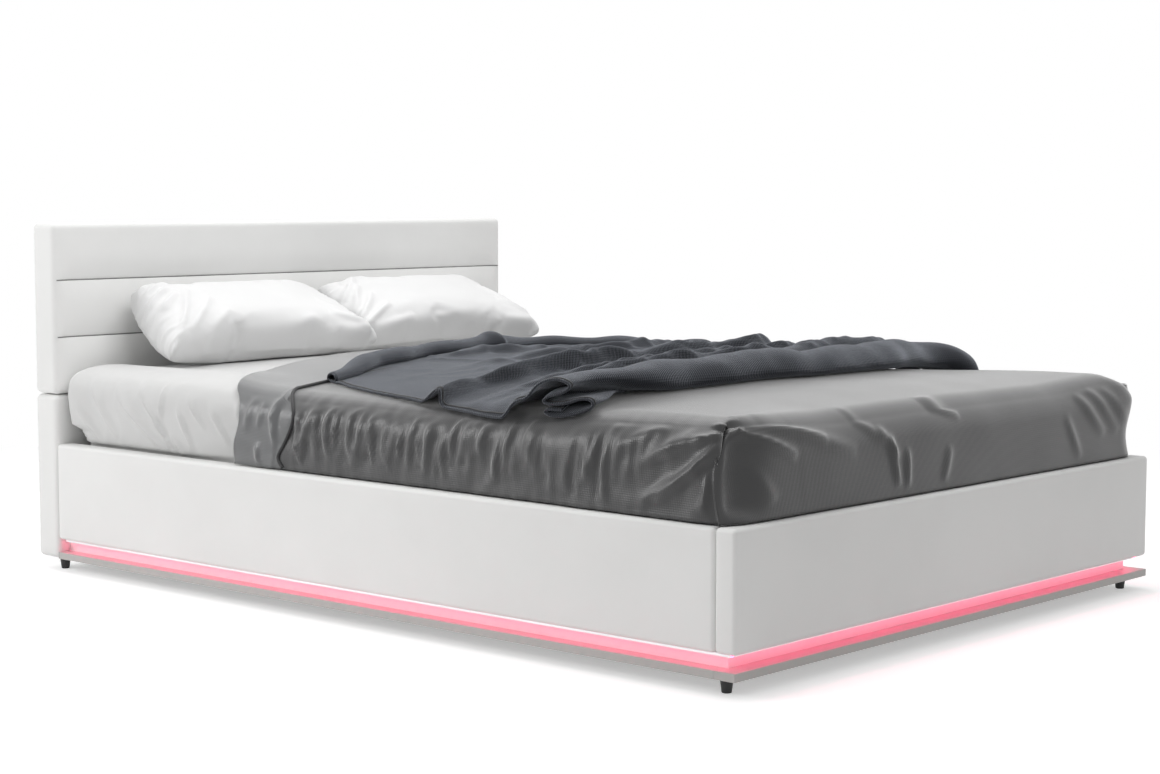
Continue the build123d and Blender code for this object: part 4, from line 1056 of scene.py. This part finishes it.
def on_duvet(x, y, lift):
    # A point over the duvet, for a distance across it that runs on down its rounded edges
    reach = max(abs(x) - duvet_edge, 0)
    turn = min(reach / (duvet_radius + lift), steepest_turn)
    side = math.copysign(1, x)
    out = Vector((side * math.sin(turn), 0, math.cos(turn)))
    place = Vector((max(min(x, duvet_edge), -duvet_edge), y, duvet_top - duvet_radius)) + out * duvet_radius
    if reach == 0:
        place.z = duvet_top
    return duvet_place(place, out, lift + duvet_lay(place, out))


def across_duvet(shares, bow, inset, lift):
    # Points of a line that crosses the duvet from its left hem over the top to the right
    rise = spread(duvet_hem + piping_radius, duvet_top - duvet_radius, piping_step[0])
    corner = [(duvet_radius * (1 - math.cos(turn)), duvet_radius * (1 - math.sin(turn)))
              for turn in spread(turn_step / 2, math.pi / 2 - turn_step / 2, turn_step)]
    left = [(-duvet_side, z) for z in rise]
    left += [(-duvet_side + a, duvet_top - b) for a, b in corner]
    path = left + [(x, duvet_top) for x in spread(-duvet_edge, duvet_edge, piping_step[1])]
    path += [(-x, z) for x, z in reversed(left)]
    points = []
    for x, z in path:
        out = (Vector((x, 0, z)) - duvet_inner(Vector((x, 0, z)))).normalized()
        y = edge_place(shares, x) + inset
        if abs(x) > duvet_edge:
            y += smooth_through(bow, (duvet_top - z) / (duvet_top - duvet_hem))
        place = Vector((x, y, z))
        points.append(duvet_surface(place, out) + out * lift)
    return points


def channel_seam(name, height):
    # The line of thread at the bottom of a channel
    half_length = (upper_high.x - upper_low.x) / 2
    points = []
    for x in spread(channel_margin - half_length, half_length - channel_margin, seam_step):
        dip = channel_dip(x, height, half_length, [height])
        points.append((x, upper_low.y + dip - seam_thread * seam_stand_share, height))
    tube_along(name, points, seam_thread, seam_finish, "frame")


seam_thread = 0.0013
seam_stand_share = 0.6
seam_step = 0.008
channel_seam("channel_seam_lower", upper_low.z + band)
channel_seam("channel_seam_upper", upper_low.z + 2 * band)
tube_along("duvet_piping", across_duvet(turn_back_shares, turn_bow, piping_inset, piping_lift),
           piping_radius, piping_finish, "platform")


# Grids, and the filling of a sewn case by pressure

def grid_faces(rows, columns):
    faces = []
    for i in range(rows - 1):
        for j in range(columns - 1):
            first = i * columns + j
            faces.append((first, first + 1, first + columns + 1, first + columns))
    return faces


fill_frames = 22
fill_pressure = 9.0
case_weight = 0.25
case_stiffness = 12.0
case_bending = 0.08
case_quality = 6


def fill_case(piece):
    cloth = piece.modifiers.new("cloth", "CLOTH")
    settings = cloth.settings
    settings.quality = case_quality
    settings.mass = case_weight
    settings.tension_stiffness = case_stiffness
    settings.compression_stiffness = case_stiffness
    settings.shear_stiffness = case_stiffness / 3
    settings.bending_stiffness = case_bending
    settings.effector_weights.gravity = 0
    settings.use_pressure = True
    settings.uniform_pressure_force = fill_pressure
    cloth.collision_settings.use_collision = False
    cloth.collision_settings.use_self_collision = False
    cloth.point_cache.frame_start = 1
    cloth.point_cache.frame_end = fill_frames
    scene = bpy.context.scene
    scene.frame_start = 1
    scene.frame_end = fill_frames
    for frame_number in range(1, fill_frames + 1):
        scene.frame_set(frame_number)
    settle(piece)
    scene.frame_set(1)


def refine(piece):
    smooth = piece.modifiers.new("smooth", "SUBSURF")
    smooth.levels = 1
    smooth.render_levels = 1
    settle(piece)


# Pillows: two layers of cotton sewn round their edges and filled by pressure, then
# creased towards their corners

pillow_step = 0.013
pillow_cut = (0.72, 0.42)
pillow_corner_share = (0.04, 0.16)
pillow_twist = 0.030
pillow_depth = 0.272
pillow_thickness = 0.165
pillow_tilt = math.radians(27)
pillow_wall_gap = 0.007
pillow_fullness = (0.74, 0.88, 0.72)
pillow_lump = 0.004
pillow_front = -0.2
pillow_gather = 0.004
pillow_gather_run = (0.72, 1.0)
pillow_gathers = 3.5
pillow_wave = 0.0015
pillow_sag = 0.012
pillow_settle = 0.004
pillow_over_sheet = 0.0035
# Creases of the front: start, end, width and height, as shares of the half sizes
left_pillow_folds = [
    ((-0.98, -0.10), (-0.62, 0.30), 0.038, 0.0096),
    ((-0.97, 0.25), (-0.66, 0.52), 0.034, 0.0096),
    ((-0.95, 0.55), (-0.60, 0.74), 0.038, 0.0088),
    ((-0.93, 0.84), (-0.52, 0.86), 0.043, 0.0080),
    ((-0.88, -0.70), (-0.50, 0.35), 0.034, 0.0096),
    ((-0.78, -0.80), (-0.36, 0.05), 0.038, 0.0080),
    ((-0.60, -0.86), (-0.28, -0.40), 0.043, 0.0072),
    ((-0.20, -0.90), (0.35, -0.66), 0.051, 0.0056),
    ((0.95, -0.80), (0.50, -0.52), 0.043, 0.0080),
    ((0.92, -0.90), (0.40, -0.84), 0.038, 0.0072),
    ((0.85, -0.60), (0.52, -0.10), 0.051, 0.0056),
]
right_pillow_folds = [
    ((-0.97, -0.85), (-0.50, -0.30), 0.038, 0.0104),
    ((-0.95, -0.60), (-0.58, 0.10), 0.038, 0.0104),
    ((-0.93, -0.30), (-0.64, 0.42), 0.038, 0.0096),
    ((-0.92, 0.10), (-0.60, 0.66), 0.043, 0.0088),
    ((-0.80, 0.60), (-0.30, 0.80), 0.047, 0.0080),
    ((-0.85, -0.92), (-0.30, -0.70), 0.038, 0.0088),
    ((-0.40, -0.80), (0.20, -0.66), 0.051, 0.0048),
    ((0.96, -0.70), (0.62, -0.30), 0.043, 0.0088),
    ((0.93, -0.40), (0.66, 0.20), 0.043, 0.0080),
    ((0.90, -0.88), (0.45, -0.80), 0.038, 0.0072),
]


def pillow_shell(name, seed):
    count_x = round(pillow_cut[0] / pillow_step)
    count_y = round(pillow_cut[1] / pillow_step)
    points, faces, index = [], [], {}
    for layer in (1, -1):
        for i in range(count_x + 1):
            for j in range(count_y + 1):
                rim = i in (0, count_x) or j in (0, count_y)
                key = (0 if rim else layer, i, j)
                if key in index:
                    continue
                index[key] = len(points)
                a = 2 * i / count_x - 1
                b = 2 * j / count_y - 1
                corner = pillow_corner_share[0 if b < 0 else 1]
                x = pillow_cut[0] / 2 * a * math.sqrt(1 - corner * b * b)
                y = pillow_cut[1] / 2 * b * math.sqrt(1 - corner * a * a)
                lump = pillow_lump * (1 + rough(x * 14, y * 14, seed + layer))
                points.append((x, y, 0 if rim else layer * lump))
    for layer in (1, -1):
        for i in range(count_x):
            for j in range(count_y):
                quad = []
                for a, b in ((i, j), (i + 1, j), (i + 1, j + 1), (i, j + 1)):
                    rim = a in (0, count_x) or b in (0, count_y)
                    quad.append(index[(0 if rim else layer, a, b)])
                if layer < 0:
                    quad.reverse()
                faces.append(quad)
    return add_mesh(name, points, faces)


def pillow(side, seed, folds):
    node = "pillow_left" if side < 0 else "pillow_right"
    node_low, node_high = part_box(node)
    piece = pillow_shell(node + "_cotton", seed)
    fill_case(piece)
    refine(piece)
    vertices = piece.data.vertices
    low = [min(vertex.co[a] for vertex in vertices) for a in range(3)]
    high = [max(vertex.co[a] for vertex in vertices) for a in range(3)]
    size = (node_high.x - node_low.x, pillow_depth, pillow_thickness)
    cosine, sine = math.cos(pillow_tilt), math.sin(pillow_tilt)
    raised = []
    for vertex in vertices:
        share = [2 * (vertex.co[a] - low[a]) / (high[a] - low[a]) - 1 for a in range(3)]
        lift = 0
        if share[2] > pillow_front:
            for start, end, width, rise in folds:
                places = [(a, b / 2) for a, b in (share[:2], start, end)]
                lift += rise * crease(*places, width)
        gather = smooth_step(*pillow_gather_run, abs(share[0]))
        phase = share[1] * pillow_gathers + rough(share[0] * 3, share[1] * 3, seed)
        lift += pillow_gather * gather * ridge(phase, 2)
        lift += pillow_wave * rough(share[0] * 6, share[1] * 4, seed + 3)
        full = [math.copysign(abs(share[a]) ** pillow_fullness[a], share[a]) for a in range(3)]
        local = [full[a] * size[a] / 2 for a in range(3)]
        normal = vertex.normal
        local = [local[a] + normal[a] * lift for a in range(3)]
        raised.append(local)
    places = []
    for local in raised:
        # the filling sinks towards the lower edge
        sag = pillow_sag * math.cos(math.pi * local[1] / size[1])
        places.append(Vector((local[0], local[1] * cosine - local[2] * sine,
                              local[1] * sine + local[2] * cosine - sag)))
    back = max(place.y for place in places)
    for local, place in zip(raised, places):
        place.y += pillow_twist * local[0] * local[1] / (size[0] * size[1] / 4)
    bottom = min(place.z for place in places)
    middle = (node_low.x + node_high.x) / 2
    wall = head_inner - pillow_wall_gap
    for vertex, place in zip(vertices, places):
        x = middle + place.x
        y = min(place.y - back + wall + pillow_settle, wall)
        z = place.z - bottom + node_low.z - pillow_settle + head_rise_at(y)
        top = top_edge + sheet_grow + crown_over(x, y, mattress_high.x + sheet_grow - mattress_radius)
        top += head_rise_at(y)
        vertex.co = (x, y, max(z, top + pillow_over_sheet))
    place_piece(piece, "platform", pillow_finish, "pillow_satin", node)


pillow(-1, 5, left_pillow_folds)
pillow(1, 17, right_pillow_folds)


# Throw: a woven blanket laid over the duvet, its rear edge turned over in a flap, its
# front edge rolled under itself, with long folds between them

throw_step = 0.010
throw_thickness = 0.0028
throw_gap = 0.0042
throw_right = 0.735
throw_width = 1.46
# The left edge is a place across the bed for each place along it. The rear and the front
# edge are places along the bed, from -1 at their left end to 1 at their right end.
left_edge = [(-0.690, -0.664), (-0.620, -0.688), (-0.560, -0.699), (-0.490, -0.705), (-0.400, -0.700),
             (-0.330, -0.690), (-0.220, -0.676), (-0.150, -0.660), (0.000, -0.630), (0.100, -0.598),
             (0.200, -0.562), (0.250, -0.546), (0.300, -0.546)]
rear_line = [(-1, 0.250), (-0.75, 0.345), (-0.5, 0.410), (0, 0.470), (0.35, 0.485), (0.7, 0.440), (1, 0.380)]
front_line = [(-1, -0.668), (-0.7, -0.630), (-0.3, -0.640), (0.1, -0.662), (0.5, -0.640),
              (0.8, -0.590), (1, -0.640)]
# The turned flap and the front bunch, which changes from a double bend at the left to a
# roll at the right: distance from the edge line with height over the duvet
flap_path = [(-0.060, 0.0080), (-0.068, 0.0180), (-0.056, 0.0300), (-0.030, 0.0350), (-0.006, 0.0270),
             (0.000, 0.0140), (-0.014, 0.0075), (-0.070, 0.0058)]
roll_left = [(0.150, 0.0420), (0.122, 0.0640), (0.086, 0.0720), (0.058, 0.0650), (0.050, 0.0530),
             (0.068, 0.0440), (0.094, 0.0420), (0.106, 0.0350), (0.094, 0.0280), (0.062, 0.0270),
             (0.030, 0.0300), (0.006, 0.0240), (0.002, 0.0120), (0.030, 0.0056), (0.070, 0.0060),
             (0.098, 0.0110), (0.106, 0.0170), (0.094, 0.0195), (0.066, 0.0165)]
roll_right = [(0.120, 0.0380), (0.092, 0.0580), (0.052, 0.0620), (0.018, 0.0480), (0.000, 0.0210),
              (0.008, 0.0060), (0.032, 0.0040), (0.056, 0.0040), (0.070, 0.0040), (0.082, 0.0040),
              (0.092, 0.0050), (0.100, 0.0110), (0.104, 0.0200), (0.100, 0.0320), (0.084, 0.0420),
              (0.062, 0.0420), (0.046, 0.0340), (0.050, 0.0240), (0.064, 0.0220)]
# Long folds: the crest's place along the bed and its height, each from left to right,
# and its width
long_folds = [
    ([(-1, 0.040), (1, 0.000)],
     [(-1, 0.000), (0, 0.001), (0.4, 0.020), (0.8, 0.034), (1, 0.036)], 0.180),
    ([(-1, -0.212), (-0.6, -0.130), (0, -0.060), (1, 0.010)],
     [(-1, 0.026), (-0.75, 0.042), (0, 0.036), (1, 0.022)], 0.022),
    ([(-1, -0.420), (-0.5, -0.330), (0, -0.270), (1, -0.170)],
     [(-1, 0.000), (-0.7, 0.022), (0, 0.040), (0.5, 0.046), (1, 0.036)], 0.026),
    ([(-1, -0.330), (-0.4, -0.230), (1, -0.090)],
     [(-1, 0.000), (-0.6, 0.018), (0.3, 0.026), (1, 0.020)], 0.020),
    ([(-1, -0.520), (0, -0.420), (1, -0.340)],
     [(-1, 0.000), (0, 0.030), (0.30, 0.046), (0.55, 0.058), (0.80, 0.068), (1, 0.060)], 0.058),
    ([(-1, 0.060), (-0.3, 0.150), (1, 0.190)],
     [(-1, 0.000), (-0.4, 0.006), (0, 0.024), (0.5, 0.030), (1, 0.026)], 0.030),
    ([(-1, 0.200), (-0.3, 0.330), (0.3, 0.350), (1, 0.300)],
     [(-1, 0.000), (-0.42, 0.000), (-0.10, 0.016), (0.2, 0.014), (1, 0.018)], 0.024),
]
edge_stray = (0.010, 0.008)
flap_share = 0.60
flap_growth = 0.35
flap_growth_run = (-1, -0.7)
flap_tuft = 0.32
flap_tuft_place = 0.10
flap_tuft_width = 0.03
flap_stray = 0.25
roll_stray = 0.14
roll_growth = 0.15
roll_growth_run = (0.3, 0.9)
roll_change = (-0.98, -0.52)
roll_rumple = 0.007
roll_loose = (0.008, 0.020)
roll_wave = 0.35
flap_overlap = 0.012
roll_overlap = 0.022
middle_lift = 0.0065
crest_stray = 0.022
broad_fold = 0.05
fold_unevenness = (0.6, 0.3)
width_unevenness = 0.4
roll_slope_share = 0.75
roll_slope_run = 0.055
wrinkle_height = 0.0065
wrinkle_run = (-0.85, -0.3)
wrinkle_wave = 0.0020
fold_lean = 0.75
middle_points = 44
points_per_span = 3
hem_radius = 0.0026
stitch_radius = 0.0020


def throw_section(u):
    # One line of the throw from its turned flap at the rear to its roll at the front
    rear = smooth_through(rear_line, u) + edge_stray[0] * rough(u * 5, 1, 3)
    front = smooth_through(front_line, u) + edge_stray[1] * rough(u * 5, 5, 2)
    flap_size = flap_share + flap_growth * smooth_step(*flap_growth_run, u)
    flap_size += flap_tuft * math.exp(-((u - flap_tuft_place) / flap_tuft_width) ** 2)
    flap_size += flap_stray * rough(u * 4.4, 7, 1)
    roll_size = 1 + roll_stray * rough(u * 4, 2, 8) + roll_growth * smooth_step(*roll_growth_run, u)
    section = [(rear + y * flap_size, lift * flap_size) for y, lift in flap_path]
    change = smooth_step(*roll_change, u)
    roll = []
    for index, (left, right) in enumerate(zip(roll_left, roll_right)):
        y, lift = [(a + (b - a) * change) * roll_size for a, b in zip(left, right)]
        loose = roll_rumple * smooth_step(*roll_loose, lift)
        y += loose * rough(u * 7, index * roll_wave, 3)
        lift += loose * rough(u * 8, index * roll_wave, 7)
        roll.append((front + y, lift))
    start = section[-1][0] - flap_overlap
    end = roll[0][0] + roll_overlap
    for index in range(middle_points + 1):
        y = start + (end - start) * index / middle_points
        lift, shift = middle_lift, 0
        for crest_line, heights, width in long_folds:
            crest = smooth_through(crest_line, u) + crest_stray * rough(u * 3.5, width * 90, 4)
            uneven = fold_unevenness[0 if width < broad_fold else 1]
            height = max(smooth_through(heights, u), 0) * (1 + uneven * rough(u * 4.5, width * 60, 9))
            spread_width = width * (1 + width_unevenness * rough(u * 5, width * 80, 12))
            gap = (y - crest) / spread_width
            bell = math.exp(-gap * gap)
            lift += height * bell
            shift += fold_lean * height * bell
        lift += roll[0][1] * roll_slope_share * smooth_step(roll_slope_run, 0, y - end)
        wrinkle = ridge(y * 9 + u * 1.6 + rough(u * 4, y * 5, 6) * 1.4, 3)
        lift += wrinkle_height * wrinkle * smooth_step(*wrinkle_run, u)
        lift += wrinkle_wave * rough(u * 9, y * 11, 6)
        section.append((y - shift, lift))
    return section + roll


def smooth_section(section):
    # A smooth curve through the points of a section
    points = []
    last = len(section) - 1
    for index in range(last):
        around = [section[min(max(index + step, 0), last)] for step in (-1, 0, 1, 2)]
        for step in range(points_per_span):
            t = step / points_per_span
            point = []
            for a in range(2):
                before, first, second, after = [place[a] for place in around]
                point.append(first + 0.5 * t * (second - before + t * (
                    2 * before - 5 * first + 4 * second - after
                    + t * (3 * (first - second) + after - before))))
            points.append(point)
    points.append(section[last])
    return points


def throw():
    # Built line by line, each with its own flap, folds and roll
    count = round(throw_width / throw_step)
    rows = []
    for i in range(count + 1):
        u = 2 * i / count - 1
        row = []
        for y, lift in smooth_section(throw_section(u)):
            left = smooth_through(left_edge, y)
            x = left + (throw_right - left) * (u + 1) / 2
            row.append(on_duvet(x, y, max(lift, throw_gap)))
        rows.append(row)
    piece = add_mesh("woven_throw", [point for row in rows for point in row],
                     grid_faces(len(rows), len(rows[0])))
    refine(piece)
    thicken(piece, throw_thickness)
    place_piece(piece, "platform", throw_finish, "throw_knit", "throw")
    hem = tube_along("throw_hem", rows[0], hem_radius, throw_finish, "platform")
    stitches = tube_along("throw_stitches", rows[1], stitch_radius, piping_finish, "platform")


throw()


# Handle of the platform and the cloths on the headboard's back

strap_hem = 0.030
strap_thickness = 0.0028
webbing_thickness = 0.0022
strap_step = (0.004, 0.0034)
strap_edge = 0.0006
strap_edge_pitch = 0.008
strap_rib = 0.0003
strap_rib_turns = 1850
cloth_step = (0.02, 0.012)
cloth_thickness = 0.0007
cloth_inset = 0.0003
cloth_slack = 0.0004
cloth_slack_run = 0.06


def ribbon(name, node, rows, thickness, material, slot_name, body):
    piece = add_mesh(name, [point for row in rows for point in row], grid_faces(len(rows), len(rows[0])))
    thicken(piece, thickness)
    place_piece(piece, body, material, slot_name, node)
    return piece


def pull_handle():
    low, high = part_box("pull_strap")
    rise = high.y - low.y - strap_thickness
    half = high.x - strap_hem
    rows = []
    for x in spread(low.x, high.x, strap_step[0]):
        arch = max(1 - (x / half) ** 2, 0) if abs(x) < half else 0
        edge = strap_edge * ridge(x / strap_edge_pitch, 1) * (abs(x) > half)
        row = []
        for z in spread(low.z, high.z, strap_step[1]):
            rib = strap_rib * math.sin(z * strap_rib_turns)
            row.append((x, high.y - strap_thickness - rise * arch - rib - edge, z))
        rows.append(row)
    strap = ribbon("pull_handle", "pull_strap", rows, webbing_thickness, webbing_finish,
                   "strap_webbing", "platform")


def back_cloth(name, cover):
    low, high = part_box("headboard_back_cloths")
    cover_low, cover_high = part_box(cover)
    margin = cover_high.x - high.x
    rows = []
    for x in spread(low.x, high.x, cloth_step[0]):
        row = []
        for z in spread(cover_low.z + margin, cover_high.z - margin, cloth_step[1]):
            inset = min(x - low.x, high.x - x, z - cover_low.z - margin, cover_high.z - margin - z)
            slack = smooth_step(0, cloth_slack_run, inset)
            row.append((x, high.y - cloth_inset + slack * cloth_slack * rough(x * 3, z * 6, 2), z))
        rows.append(row)
    cloth = ribbon(name, "headboard_back_cloths", rows, cloth_thickness, cloth_finish,
                   "back_cloth", "frame")


pull_handle()
back_cloth("back_cloth_upper", "headboard_upper_cover")
back_cloth("back_cloth_lower", "headboard_lower_cover")
